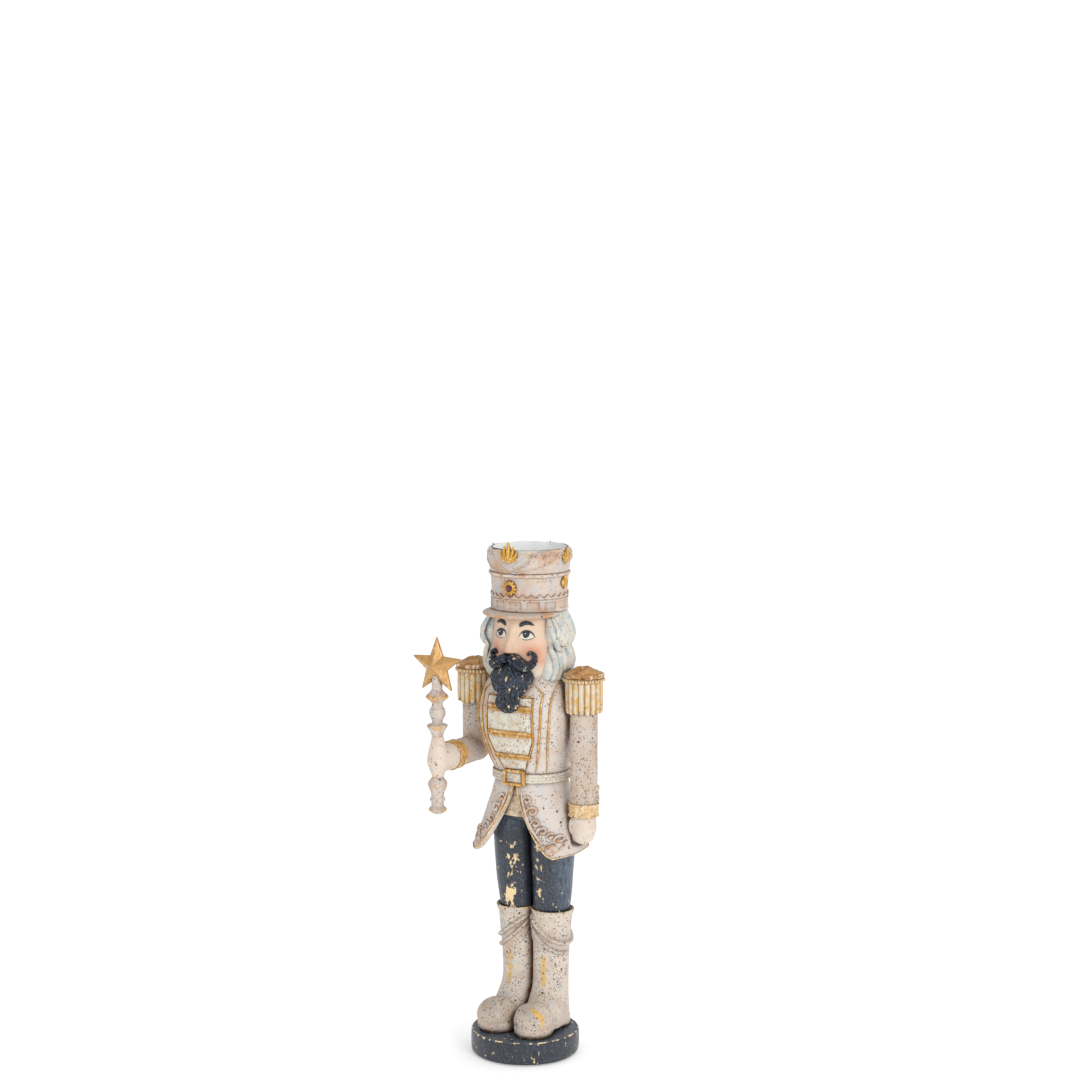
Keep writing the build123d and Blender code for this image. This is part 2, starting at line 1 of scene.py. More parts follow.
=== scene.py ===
"""A painted cast-resin nutcracker soldier with a tea-light glass in his hat, built up from the plinth.

Sizes are in millimetres and become metres as each mesh is made. The figure faces -Y; his left hand is at +X.
"""
import bmesh
import bpy
import numpy as np
from math import cos, pi, radians, sin
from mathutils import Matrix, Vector


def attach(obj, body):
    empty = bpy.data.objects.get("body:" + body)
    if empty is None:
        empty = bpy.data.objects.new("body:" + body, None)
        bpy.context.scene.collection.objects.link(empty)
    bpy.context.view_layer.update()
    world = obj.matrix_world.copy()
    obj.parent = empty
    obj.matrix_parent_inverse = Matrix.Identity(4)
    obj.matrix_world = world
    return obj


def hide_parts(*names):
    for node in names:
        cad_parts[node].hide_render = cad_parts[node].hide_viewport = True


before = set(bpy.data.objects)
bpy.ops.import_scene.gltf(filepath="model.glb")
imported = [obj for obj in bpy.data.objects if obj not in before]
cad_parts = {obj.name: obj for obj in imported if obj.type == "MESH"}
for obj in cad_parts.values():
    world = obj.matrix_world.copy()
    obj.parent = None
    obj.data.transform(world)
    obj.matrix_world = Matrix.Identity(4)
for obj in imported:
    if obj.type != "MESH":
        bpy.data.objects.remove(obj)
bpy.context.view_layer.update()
PAINTED = "figure"      # the body of every glued casting; the loose glass is the body "cup"

# ---- Plinth and felt pad ----
# The plinth is a poured resin disc, painted blue-black over a cream ground and rubbed back along its rim.
# A disc of green felt is glued underneath.
MM = 0.001
TURN = np.linspace(-pi, pi, 361)[:-1]       # angles round an upright piece: 0 is the front, +90 degrees is +X


def ring(angles, x, y, z, across, deep):
    """An oval of points round an upright axis."""
    return np.stack([x + across * np.sin(angles), y - deep * np.cos(angles), z + 0 * angles], axis=-1)


def stack(rings, joined_ends=False):
    """Vertices and faces of the closed skin through rings of equal count, its ends closed on a point."""
    rings = np.asarray(rings, float)
    rows, count = rings.shape[:2]
    index = np.arange(rows * count).reshape(rows, count)
    low = index if joined_ends else index[:-1]
    high = np.roll(index, -1, axis=0) if joined_ends else index[1:]
    quads = np.stack([low, np.roll(low, -1, axis=1), np.roll(high, -1, axis=1), high], axis=-1).reshape(-1, 4)
    verts, faces = rings.reshape(-1, 3), quads.tolist()
    if not joined_ends:
        for row, flip in ((0, True), (rows - 1, False)):
            tip = len(verts)
            verts = np.vstack([verts, rings[row].mean(axis=0)])
            for a, b in zip(index[row], np.roll(index[row], -1)):
                faces.append([b, a, tip] if flip else [a, b, tip])
    return verts, faces


def together(*forms):
    """Several closed forms as one."""
    verts, faces, count = [], [], 0
    for form_verts, form_faces in forms:
        verts.append(form_verts)
        faces += [[i + count for i in face] for face in form_faces]
        count += len(form_verts)
    return np.vstack(verts), faces


def cast(name, form):
    """A Blender object from vertices in millimetres and faces, smooth and facing outwards."""
    mesh = bpy.data.meshes.new(name)
    mesh.from_pydata((np.asarray(form[0]) * MM).tolist(), [], form[1])
    shape = bmesh.new()
    shape.from_mesh(mesh)
    bmesh.ops.recalc_face_normals(shape, faces=shape.faces)
    shape.to_mesh(mesh)
    shape.free()
    mesh.shade_smooth()
    piece = bpy.data.objects.new(name, mesh)
    bpy.context.scene.collection.objects.link(piece)
    return piece


def put(piece, material, slot, *nodes, body=PAINTED):
    """Paints a piece, sets it in its body and has it stand for its CAD nodes."""
    piece.data.materials.clear()
    piece.data.materials.append(material)
    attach(piece, body)
    if nodes:
        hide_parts(*nodes)
    return piece


def line_through(points, count):
    """Evenly spaced points on a smooth line through the given ones, in any number of dimensions."""
    p = np.asarray(points, float)
    p = np.vstack([2 * p[0] - p[1], p, 2 * p[-1] - p[-2]])
    t = np.linspace(0, len(p) - 3, 24 * len(p))
    i = np.minimum(t.astype(int), len(p) - 4)
    f = (t - i)[:, None]
    a, b, c, d = p[i], p[i + 1], p[i + 2], p[i + 3]
    q = 0.5 * (2 * b + (c - a) * f + (2 * a - 5 * b + 4 * c - d) * f**2 + (3 * b - a - 3 * c + d) * f**3)
    run = np.concatenate([[0], np.cumsum(np.linalg.norm(np.diff(q, axis=0), axis=1))])
    at = np.linspace(0, run[-1], count)
    return np.stack([np.interp(at, run, column) for column in q.T], axis=1)


def uneven(points, size, amount):
    """Moves points by a slow waver, as a hand-made master has."""
    p = np.asarray(points, float)
    x, y, z = p[..., 0] / size, p[..., 1] / size, p[..., 2] / size
    out = p.copy()
    out[..., 0] += amount * np.sin(1.3 * y + 2.1 * z + 0.4) * np.cos(0.7 * x + 1.1 * z)
    out[..., 1] += amount * np.sin(1.7 * x + 1.2 * z + 1.9) * np.cos(1.1 * y - 0.6 * z)
    return out


def colour(code):
    """A paint colour from its mixed shade, as six hex digits, in the linear values that shaders take."""
    parts = [int(code[i:i + 2], 16) / 255 for i in (0, 2, 4)]
    return tuple(p / 12.92 if p <= 0.04045 else ((p + 0.055) / 1.055) ** 2.4 for p in parts) + (1.0,)


def node(tree, kind, sockets=None, **settings):
    """A shader node with its settings, and its sockets linked or set."""
    made = tree.nodes.new(kind)
    for key, value in settings.items():
        setattr(made, key, value)
    for key, value in (sockets or {}).items():
        if isinstance(value, bpy.types.NodeSocket):
            tree.links.new(value, made.inputs[key])
        else:
            made.inputs[key].default_value = value
    return made


def sums(tree, operation, a, b=0.5):
    """One sum on two values."""
    return node(tree, "ShaderNodeMath", {0: a, 1: b}, operation=operation).outputs[0]


def blend(tree, amount, a, b):
    """Colour a turning into colour b by an amount from 0 to 1."""
    return node(tree, "ShaderNodeMix", {0: amount, 6: a, 7: b}, data_type="RGBA").outputs[2]


def spread(tree, value, low, high, to_low=0.0, to_high=1.0):
    """A value's range from low to high stretched over another, and held at its ends."""
    sockets = {"Value": value, "From Min": low, "From Max": high, "To Min": to_low, "To Max": to_high}
    return node(tree, "ShaderNodeMapRange", sockets).outputs["Result"]


def noise(tree, scale, detail=2.0, rough=0.5, stretch=(1, 1, 1)):
    """Cloud noise over the piece; scale is in clouds per metre."""
    place = node(tree, "ShaderNodeTexCoord").outputs["Object"]
    if stretch != (1, 1, 1):
        place = node(tree, "ShaderNodeMapping", {"Vector": place, "Scale": stretch}).outputs["Vector"]
    sockets = {"Vector": place, "Scale": scale, "Detail": detail, "Roughness": rough}
    return node(tree, "ShaderNodeTexNoise", sockets).outputs["Fac"]


def shader_group(name, inputs, outputs):
    """An empty node group with its named sockets."""
    tree = bpy.data.node_groups.new(name, "ShaderNodeTree")
    for label, kind, value in inputs:
        tree.interface.new_socket(label, in_out="INPUT", socket_type=kind).default_value = value
    for label, kind in outputs:
        tree.interface.new_socket(label, in_out="OUTPUT", socket_type=kind)
    return tree, tree.nodes.new("NodeGroupInput").outputs, tree.nodes.new("NodeGroupOutput").inputs


VALUE = "NodeSocketFloat"


def make_wash_and_shade():
    """Thin brown glaze that stays in the hollows and round raised details when the rest is wiped off, and
    painted shade, with a little stain, wherever a piece is marked for it.
    """
    tree, given, out = shader_group("hollow_wash_and_shade", [("Reach", VALUE, 0.003), ("Strength", VALUE, 0.8)],
                                    [("Hollow", VALUE)])
    broad = node(tree, "ShaderNodeAmbientOcclusion", {"Distance": given["Reach"]}, samples=8).outputs["AO"]
    close = node(tree, "ShaderNodeAmbientOcclusion", {"Distance": 0.0011}, samples=8).outputs["AO"]
    hollow = sums(tree, "MAXIMUM", spread(tree, broad, 0.90, 0.35), spread(tree, close, 0.93, 0.58))
    patchy = spread(tree, noise(tree, 260, 3), 0.30, 0.62, 0.6, 1.0)
    # Painted shade: vertices marked for it, where parts touch, sit on the plinth or meet a cord, darken like
    # the wash.
    shade_and_stain_mask = node(tree, "ShaderNodeAttribute", attribute_name="shade_and_stain").outputs["Fac"]
    hollow = sums(tree, "MAXIMUM", hollow, shade_and_stain_mask)
    tree.links.new(sums(tree, "MULTIPLY", sums(tree, "MULTIPLY", hollow, patchy), given["Strength"]),
                   out["Hollow"])
    return tree


def make_clouds():
    """Patches where a warm or a cool glaze was left thicker, and the streaks of the brush in them."""
    tree, given, out = shader_group(
        "glaze_clouds", [("Scale", VALUE, 90.0), ("Warm", VALUE, 0.5), ("Cool", VALUE, 0.5)],
        [("Warm Patch", VALUE), ("Cool Patch", VALUE), ("Streak", VALUE), ("Grit", VALUE)])
    fine = noise(tree, 900, 4, 0.65)
    warm = sums(tree, "ADD", noise(tree, given["Scale"], 3, 0.6), sums(tree, "MULTIPLY", fine, 0.30))
    cool_scale = sums(tree, "MULTIPLY", given["Scale"], 1.37)
    cool = sums(tree, "ADD", noise(tree, cool_scale, 3, 0.6, (1.1, 1.3, 0.8)),
                sums(tree, "MULTIPLY", fine, 0.22))
    tree.links.new(sums(tree, "MULTIPLY", spread(tree, warm, 0.60, 0.86), given["Warm"]), out["Warm Patch"])
    tree.links.new(sums(tree, "MULTIPLY", spread(tree, cool, 0.60, 0.80), given["Cool"]), out["Cool Patch"])
    tree.links.new(noise(tree, 700, 3, 0.6, (1, 1, 0.22)), out["Streak"])
    tree.links.new(noise(tree, 1500, 3, 0.7), out["Grit"])
    return tree


def make_spatter():
    """Flicked brown dots, a few large ones and a fine dust of small ones, denser here and there."""
    tree, given, out = shader_group("spatter", [("Share", VALUE, 0.3), ("Dust", VALUE, 0.3)],
                                    [("Dots", VALUE), ("Dust", VALUE)])
    place = node(tree, "ShaderNodeTexCoord").outputs["Object"]
    splash = node(tree, "ShaderNodeTexNoise", {"Vector": place, "Scale": 1300.0, "Detail": 2.0})
    ragged = node(tree, "ShaderNodeVectorMath", {0: splash.outputs["Color"], 1: (0.5, 0.5, 0.5)},
                  operation="SUBTRACT")
    place = node(tree, "ShaderNodeVectorMath", {0: ragged.outputs["Vector"], 1: (0.0009, 0.0009, 0.0009),
                                                2: place},
                 operation="MULTIPLY_ADD").outputs["Vector"]
    crowd = spread(tree, noise(tree, 55, 2), 0.35, 0.65, 0.25, 1.6)
    for scale, size, label in ((330.0, 0.265, "Dots"), (760.0, 0.41, "Dust")):
        cells = node(tree, "ShaderNodeTexVoronoi", {"Vector": place, "Scale": scale})
        shade = node(tree, "ShaderNodeSeparateColor", {"Color": cells.outputs["Color"]})
        share = sums(tree, "MULTIPLY", given["Share" if label == "Dots" else "Dust"], crowd)
        chosen = sums(tree, "LESS_THAN", shade.outputs["Red"], share)
        radius = sums(tree, "MULTIPLY", spread(tree, shade.outputs["Green"], 0, 1, 0.3, 1.05), size)
        inside = spread(tree, sums(tree, "SUBTRACT", radius, cells.outputs["Distance"]), -0.03, 0.03)
        tree.links.new(sums(tree, "MULTIPLY", chosen, inside), out[label])
    return tree


def make_chips():
    """Ragged flakes where the top coat is knocked off, more of them where the piece is marked as rubbed."""
    tree, given, out = shader_group(
        "flaked_paint", [("Scale", VALUE, 170.0), ("Share", VALUE, 0.2), ("Rub", VALUE, 0.3)],
        [("Flake", VALUE)])
    rubbed = node(tree, "ShaderNodeAttribute", attribute_name="rub").outputs["Fac"]
    flake = sums(tree, "ADD", noise(tree, given["Scale"], 4, 0.62, (1, 1, 0.6)),
                 sums(tree, "MULTIPLY", rubbed, given["Rub"]))
    edge = sums(tree, "SUBTRACT", 0.86, given["Share"])
    over = sums(tree, "SUBTRACT", flake, edge)
    tree.links.new(spread(tree, over, 0.0, 0.012), out["Flake"])
    return tree


WASH_AND_SHADE, CLOUDS, SPATTER, CHIPS = make_wash_and_shade(), make_clouds(), make_spatter(), make_chips()


def placed(tree, group, **sockets):
    """A node group set into a material with its own values."""
    made = tree.nodes.new("ShaderNodeGroup")
    made.node_tree = group
    for key, value in sockets.items():
        made.inputs[key.replace("_", " ")].default_value = value
    return made.outputs


def new_material(name, **values):
    """A material, its node tree and its shader, with plain values set on the shader's own sockets."""
    material = bpy.data.materials.new(name)
    material.use_nodes = True
    skin = material.node_tree.nodes["Principled BSDF"]
    for key, value in values.items():
        skin.inputs[key.replace("_", " ")].default_value = value
    return material, material.node_tree, skin


def paint(name, base, warm, cool, wash, dot="4a2f20", chip=None, scale=90.0, warm_amount=0.5, cool_amount=0.5,
          reach=0.003, strength=0.8, dots=(0.2, 0.3), flakes=(170.0, 0.2, 0.3), rough=0.62, grain=0.35,
          metal=0.0, grit=0.5):
    """A layered hand paint: base, warm and cool glazes, painted sheen where marked, wash and marked painted
    shade in the hollows, flakes and spatter.
    """
    material, tree, skin = new_material(name, Metallic=metal, Specular_IOR_Level=0.45)
    clouds = placed(tree, CLOUDS, Scale=scale, Warm=warm_amount, Cool=cool_amount)
    hollow = placed(tree, WASH_AND_SHADE, Reach=reach, Strength=strength)["Hollow"]
    spots = placed(tree, SPATTER, Share=dots[0], Dust=dots[1])
    shade = blend(tree, clouds["Warm Patch"], colour(base), colour(warm))
    shade = blend(tree, clouds["Cool Patch"], shade, colour(cool))
    # Painted sheen: where a piece is marked, streaks of the cool colour lighten it, a sheen of light with
    # some cool haze of paint.
    sheen_and_haze = node(tree, "ShaderNodeAttribute", attribute_name="sheen_and_haze").outputs["Fac"]
    shade = blend(tree, sums(tree, "MULTIPLY", sheen_and_haze, spread(tree, clouds["Streak"], 0.30, 0.62)), shade,
                  colour(cool))
    shade = blend(tree, spread(tree, clouds["Grit"], 0.52, 0.74, 0.0, grit), shade, colour(warm))
    # The wash colour also fills the painted shade that a piece is marked with.
    shade = blend(tree, hollow, shade, colour(wash))
    relief = sums(tree, "MULTIPLY", clouds["Streak"], 0.5)
    if chip:
        flake = placed(tree, CHIPS, Scale=flakes[0], Share=flakes[1], Rub=flakes[2])["Flake"]
        shade = blend(tree, flake, shade, colour(chip))
        relief = sums(tree, "SUBTRACT", relief, sums(tree, "MULTIPLY", flake, 0.9))
    shade = blend(tree, sums(tree, "MULTIPLY", spots["Dust"], 0.72), shade, colour(dot))
    shade = blend(tree, sums(tree, "MULTIPLY", spots["Dots"], 0.92), shade, colour(dot))
    relief = sums(tree, "ADD", relief, sums(tree, "MULTIPLY", noise(tree, 2600, 2), grain))
    tree.links.new(shade, skin.inputs["Base Color"])
    shine = spread(tree, clouds["Streak"], 0.3, 0.7, rough - 0.10, rough + 0.12)
    tree.links.new(shine, skin.inputs["Roughness"])
    normals = node(tree, "ShaderNodeBump", {"Height": relief, "Strength": 0.7, "Distance": 0.0003})
    tree.links.new(normals.outputs["Normal"], skin.inputs["Normal"])
    return material


def corners(piece):
    """A piece's vertices in millimetres."""
    flat = np.empty(3 * len(piece.data.vertices), dtype=np.float32)
    piece.data.vertices.foreach_get("co", flat)
    return flat.reshape(-1, 3) / MM


def mark(piece, values, name="rub"):
    """Marks how rubbed or rouged each vertex is, or how much painted shade and stain, or painted sheen and
    haze, it takes.
    """
    layer = piece.data.attributes.new(name, "FLOAT", "POINT")
    layer.data.foreach_set("value", np.asarray(values, dtype=np.float32).ravel())


def bump(value, middle, reach):
    """A smooth rise from 0 to 1 and back round a middle value."""
    return np.exp(-((value - middle) / reach) ** 2)


navy = paint("navy_paint", base="2b2f38", warm="463e44", cool="73859b", wash="0c0e13", dot="0d0e11",
             chip="efd3a4", scale=620, warm_amount=0.45, cool_amount=0.30, strength=0.9,
             flakes=(360.0, 0.21, 0.17), dots=(0.12, 0.35), rough=0.34, grit=0.35)

plinth_profile = line_through([(1, 1.1), (20, 1.1), (31.6, 1.0), (33.1, 1.3), (33.8, 2.6), (34.0, 6.0),
                               (34.0, 12.0), (33.9, 14.2), (33.3, 15.15), (32.0, 15.2), (20, 15.0),
                               (1, 15.0)], 150)
plinth_rings = [ring(TURN, 0, 0, z, r, r) for r, z in plinth_profile]
plinth = cast("plinth", stack(uneven(plinth_rings, 9.0, 0.12)))
rim_rub = bump(plinth_profile[:, 0], 33.4, 0.40) * (plinth_profile[:, 1] > 12.5)
foot_rub = 0.3 * bump(plinth_profile[:, 1], 3.0, 1.6) * (plinth_profile[:, 0] > 32)
side_kept = 0.10 * (plinth_profile[:, 0] > 33.6)
rub = np.repeat((rim_rub + foot_rub - side_kept)[:, None], len(TURN), axis=1)
mark(plinth, np.concatenate([rub.ravel(), [0, 0]]))
# Painted sheen, with some cool haze: the top of the plinth is lightened with the cool colour.
mark(plinth, 0.4 * (corners(plinth)[:, 2] > 14.6), "sheen_and_haze")
put(plinth, navy, "navy_paint", "plinth")

felt, felt_tree, felt_skin = new_material("green_felt", Roughness=0.95)
felt_fibre = noise(felt_tree, 3200, 5, 0.7)
felt_shade = blend(felt_tree, spread(felt_tree, felt_fibre, 0.3, 0.7), colour("1f3a2c"), colour("3d5c48"))
felt_tree.links.new(felt_shade, felt_skin.inputs["Base Color"])
felt_bump = node(felt_tree, "ShaderNodeBump", {"Height": felt_fibre, "Strength": 0.8, "Distance": 0.0003})
felt_tree.links.new(felt_bump.outputs["Normal"], felt_skin.inputs["Normal"])
pad_profile = [(1, 0), (29.8, 0.0), (30.3, 0.15), (30.4, 0.9), (30.2, 1.3), (1, 1.3)]
pad = cast("felt_pad", stack([ring(TURN, 0, 0, z, r, r) for r, z in pad_profile]))
put(pad, felt, "felt", "base_felt_pad")

# ---- Boots ----
# Two cast boots side by side: bulbous toes, straight shafts with a turned-down top held by two drooping
# cords. Off-white paint, flecked brown, with gold dragged down the shins.


def blob(centre, radii, count=48):
    """A closed egg shape."""
    tilt = np.linspace(0, pi, count // 2 + 2)[1:-1]
    around = np.linspace(-pi, pi, count, endpoint=False)
    return stack([ring(around, centre[0], centre[1], centre[2] - radii[2] * cos(t), radii[0] * sin(t),
                       radii[1] * sin(t)) for t in tilt])


def bar(path, ups, section, joined_ends=False, size=None):
    """A bar whose section, points (across, up), follows a path; ups says which way is up along it."""
    path, ups = np.asarray(path, float), np.asarray(ups, float)
    along = np.roll(path, -1, 0) - np.roll(path, 1, 0) if joined_ends else np.gradient(path, axis=0)
    along /= np.linalg.norm(along, axis=1)[:, None]
    ups = ups - along * (ups * along).sum(1)[:, None]
    ups /= np.linalg.norm(ups, axis=1)[:, None]
    side = np.cross(along, ups)
    scale = np.ones((len(path), 2)) if size is None else np.asarray(size, float)
    section = np.asarray(section, float)
    rings = (path[:, None] + side[:, None] * section[None, :, :1] * scale[:, None, :1]
             + ups[:, None] * section[None, :, 1:] * scale[:, None, 1:])
    return stack(rings, joined_ends)


def half_round(width, height, sunk=0.5, count=10):
    """The section of a raised line: round on top, with its foot sunk into the piece below."""
    angles = np.linspace(0, pi, count)
    top = [(-width / 2 * cos(a), height * sin(a)) for a in angles]
    return top + [(width / 2, -sunk), (-width / 2, -sunk)]


def fused(name, forms, voxel, smooth=4):
    """Forms melted into one skin, as clay is before a mould is taken from it."""
    rough = cast(name + "_rough", together(*forms))
    remesh = rough.modifiers.new("melt", "REMESH")
    remesh.mode = "VOXEL"
    remesh.voxel_size = voxel * MM
    soften = rough.modifiers.new("soften", "SMOOTH")
    soften.factor = 0.6
    soften.iterations = smooth
    ready = rough.evaluated_get(bpy.context.evaluated_depsgraph_get())
    mesh = bpy.data.meshes.new_from_object(ready)
    mesh.name = name
    bpy.data.objects.remove(rough)
    mesh.shade_smooth()
    piece = bpy.data.objects.new(name, mesh)
    bpy.context.scene.collection.objects.link(piece)
    return piece


def reshape(piece, points):
    """Puts moved vertices, in millimetres, back into a piece."""
    piece.data.vertices.foreach_set("co", (np.asarray(points, dtype=np.float32) * MM).ravel())
    piece.data.update()


def mirrored(form):
    """The same form on the figure's other side."""
    verts = form[0].copy()
    verts[:, 0] *= -1
    return verts, form[1]


def mixed_rows(rows, count):
    """Rows of sizes, each starting with its height, blended smoothly into more rows."""
    return line_through(rows, count)


def sizes_at(rows, z):
    """The sizes that rows give at a height, blended between them."""
    return [np.interp(z, rows[:, 0], column) for column in rows.T[1:]]


plinth_top = 15.0
boot_rows = mixed_rows([(16.0, 11.4, 14.4, 11.6), (26, 11.1, 14.0, 11.4), (36, 10.9, 13.8, 11.3),
                        (50, 11.0, 13.7, 11.3), (61, 11.3, 13.6, 11.4), (75, 12.0, 13.3, 11.9),
                        (84, 12.4, 13.1, 12.2), (88.4, 12.7, 13.0, 12.7)], 60)


def shaft_at(z, angle, lift=0.0):
    """A point on the left boot's shaft, and the direction straight out from it there."""
    x, y, r = sizes_at(boot_rows, z)
    out = np.array([sin(angle), -cos(angle), 0.0])
    return np.array([x, y, z]) + out * (r + lift), out


def shaft_cord(turns, width, height):
    """A raised cord round the boot through (degrees, height) points."""
    line = line_through(turns, 70)
    spots = [shaft_at(z, radians(a)) for a, z in line]
    fade = np.minimum(1, np.minimum(np.arange(70), np.arange(70)[::-1]) / 8)
    cord_lines.append(np.array([p for p, _ in spots]))
    return bar([p for p, _ in spots], [o for _, o in spots], half_round(width, height, 0.8),
               size=np.stack([0.4 + 0.6 * fade, 0.2 + 0.8 * fade], 1))


cord_lines = []


shaft = stack([ring(TURN[::4], x, y, z, r, r) for z, x, y, r in boot_rows])
instep_rows = mixed_rows([(17, 12.1, 5.0, 11.2, 19.6), (24, 12.1, 5.0, 11.2, 19.6),
                          (28, 12.0, 6.2, 11.3, 18.6), (32, 11.8, 8.8, 11.3, 16.2),
                          (36, 11.5, 11.0, 11.3, 14.0), (40, 11.2, 12.6, 11.2, 12.3),
                          (44, 11.1, 13.4, 11.2, 11.5), (48, 11.0, 13.7, 11.1, 11.2)], 40)
top_rolls = [ring(TURN[::4], 12.7, 13.0, z, r, r) for r, z in
             [(12.5, 86.5), (12.9, 88.0), (13.5, 89.4), (13.7, 90.4), (13.3, 91.0), (12.4, 90.8),
              (12.1, 89.8)]]
boot_forms = [
    shaft, stack(top_rolls),
    blob((12.6, -11.3, 24.4), (12.3, 12.6, 11.0)), blob((12.4, -10.4, 19.6), (12.4, 13.2, 8.6)),
    stack([ring(TURN[::4], x, y, z, a, d) for z, x, y, a, d in instep_rows]),
    blob((11.8, 15.0, 19.0), (11.3, 10.6, 9.4)),
    shaft_cord([(-84, 88.5), (-60, 86.0), (-38, 83.2), (-14, 79.6), (18, 74.4), (40, 71.8), (59, 70.4),
                (90, 69.8), (120, 71), (150, 75), (175, 80)], 2.6, 2.3),
    shaft_cord([(-80, 85.5), (-62, 83.0), (-46, 79.8), (-22, 75.0), (1, 70.6), (25, 67.0), (50, 64.4),
                (80, 63.6), (100, 65)], 2.4, 2.1),
    shaft_cord([(-76, 83.0), (-60, 77.5), (-44, 73.0), (-34, 70.0)], 1.8, 1.4),
]
boot_white = paint("boot_paint", base="d8ccbe", warm="a9805f", cool="b9c3c9", wash="5e3620", dot="44261a",
                   chip="e0b56c", scale=75, warm_amount=0.45, cool_amount=0.55, reach=0.004, strength=0.95,
                   dots=(0.42, 0.95), flakes=(330.0, 0.10, 0.30), rough=0.5, grit=0.75)
for side, name in ((1, "left"), (-1, "right")):
    boot = fused(f"boot_{name}", [f if side > 0 else mirrored(f) for f in boot_forms], 0.45, 4)
    p = corners(boot)
    p[:, 0] += (side < 0) * -0.09 * np.clip(-p[:, 1], 0, 30)
    p[:, 0] = side * np.maximum(side * p[:, 0], 0.05)
    p[:, 2] = np.maximum(p[:, 2], plinth_top)
    reshape(boot, p)
    # gold is dragged down the shin, along the boot's top and round the left toe
    shin = np.exp(-((p[:, 0] - side * 12.0) / 2.0) ** 2 - ((p[:, 2] - 51.5) / 14) ** 4) * (p[:, 1] < 8)
    lip = bump(p[:, 2], 90.6, 0.7)
    toe_turn = np.arctan2(p[:, 2] - 26, p[:, 0] - 15.5)
    crescent = (bump(np.hypot(p[:, 0] - 13.0, p[:, 2] - 23.0), 10.3, 1.1) * (p[:, 1] < -6)
                * bump(toe_turn, 0.85, 0.95) * (side > 0))
    mark(boot, 1.25 * shin + 0.9 * lip + 2.2 * crescent)
    # Painted shade: the boots darken where they touch each other, along their foot on the plinth and beside
    # the cords; a darker patch also lies on the front of the toe.
    on_left = p * [side, 1, 1]
    near_cord = np.min([np.min(np.linalg.norm(on_left[:, None] - line[None, ::3], axis=2), axis=1)
                        for line in cord_lines], axis=0)
    groove = 0.40 * bump(near_cord, 1.55, 0.3)
    toe = 0.38 * bump(p[:, 0], side * 12, 8) * bump(p[:, 1], -19, 7) * bump(p[:, 2], 29, 9)
    mark(boot, np.clip(1.1 * bump(p[:, 0], 0, 1.7) * (p[:, 1] < 9) + toe + groove
                       + 0.5 * bump(p[:, 2], 15, 1.3) * (p[:, 1] < 20), 0, 1), "shade_and_stain")
    put(boot, boot_white, "greige_paint", f"boot_{name}")

# ---- Trousers ----
# Both legs and the seat above them are cast plain and painted like the plinth, with cream flakes knocked
# out of the fronts of the thighs.
thigh_rows = mixed_rows([(89.8, 11.9, 12.8, 11.6, 11.6), (100, 12.5, 12.7, 12.2, 12.2),
                         (121, 13.4, 12.2, 13.4, 13.3), (136, 13.4, 11.6, 13.5, 13.9),
                         (150, 12.8, 10.8, 12.8, 14.4), (158, 12.4, 10.6, 12.3, 14.4)],
                        80)
for side, name in ((1, "left"), (-1, "right")):
    rings = np.array([ring(TURN[::3], x, y, z, a, b) for z, x, y, a, b in thigh_rows])
    rings = uneven(rings, 14.0, 0.25)
    rings[..., 0] = side * np.maximum(rings[..., 0], 0.06)
    thigh = cast(f"trouser_leg_{name}", stack(rings))
    p = corners(thigh)
    front = (np.exp(-((p[:, 0] - side * 9.5) / 3.2) ** 2) * (p[:, 1] < 4)
             * (0.4 + 0.6 * np.sin(p[:, 2] / 3.1) ** 2)
             * np.exp(-((p[:, 2] - 112) / 26) ** 4))
    low_patch = (side < 0) * np.exp(-((p[:, 0] + 11.5) / 3.0) ** 2
                                    - ((p[:, 2] - 99) / 4.5) ** 2) * (p[:, 1] < 4)
    mark(thigh, 0.95 * front + 1.9 * low_patch)
    # Painted shade where the two legs meet.
    mark(thigh, 0.9 * bump(p[:, 0], 0, 2.2), "shade_and_stain")
    # Painted sheen, with some cool haze: the outer sides of the thighs and a band along their tops are
    # lightened with the cool colour.
    outer = 0.6 * np.clip((side * p[:, 0] - 18.5) / 8, 0, 1) + 0.35 * bump(p[:, 2], 148, 6)
    mark(thigh, 0.06 + np.clip(outer, 0, 0.55), "sheen_and_haze")
    put(thigh, navy, "navy_paint", f"trouser_leg_{name}")
seat = cast("trouser_seat", stack([ring(TURN[::3], 0, 10.2, z, a, b) for z, a, b in
                                   [(148.5, 20.0, 14.0), (150, 21.2, 15.6), (156, 21.0, 16.4),
                                    (166, 20.6, 16.0), (172, 19.5, 15.4), (173.5, 17.0, 13.0)]]))
put(seat, navy, "navy_paint", "seat_block")

# ---- Coat skirt ----
# The coat's skirt is a thick flared shell cast with the hips, open at the front in an upturned V. A gold
# cord edges it, and a vine of modelled scrolls runs beside the cord on both tails.
coat = paint("coat_paint", base="d8cec5", warm="bf9c84", cool="c6ced3", wash="6b4c3a", dot="4a2b1e", scale=60,
             warm_amount=0.5, cool_amount=0.65, reach=0.004, strength=0.9, dots=(0.28, 0.50))
gilt = paint("antique_gold_paint", base="d3a04f", warm="9a6228", cool="f0d7a2", wash="4f2c0f", dot="3a2312",
             chip="f4e6c6", scale=300, warm_amount=0.8, cool_amount=1.0, reach=0.0018, strength=0.9,
             dots=(0.10, 0.16), flakes=(460.0, 0.20, 0.2), rough=0.40, metal=0.2)

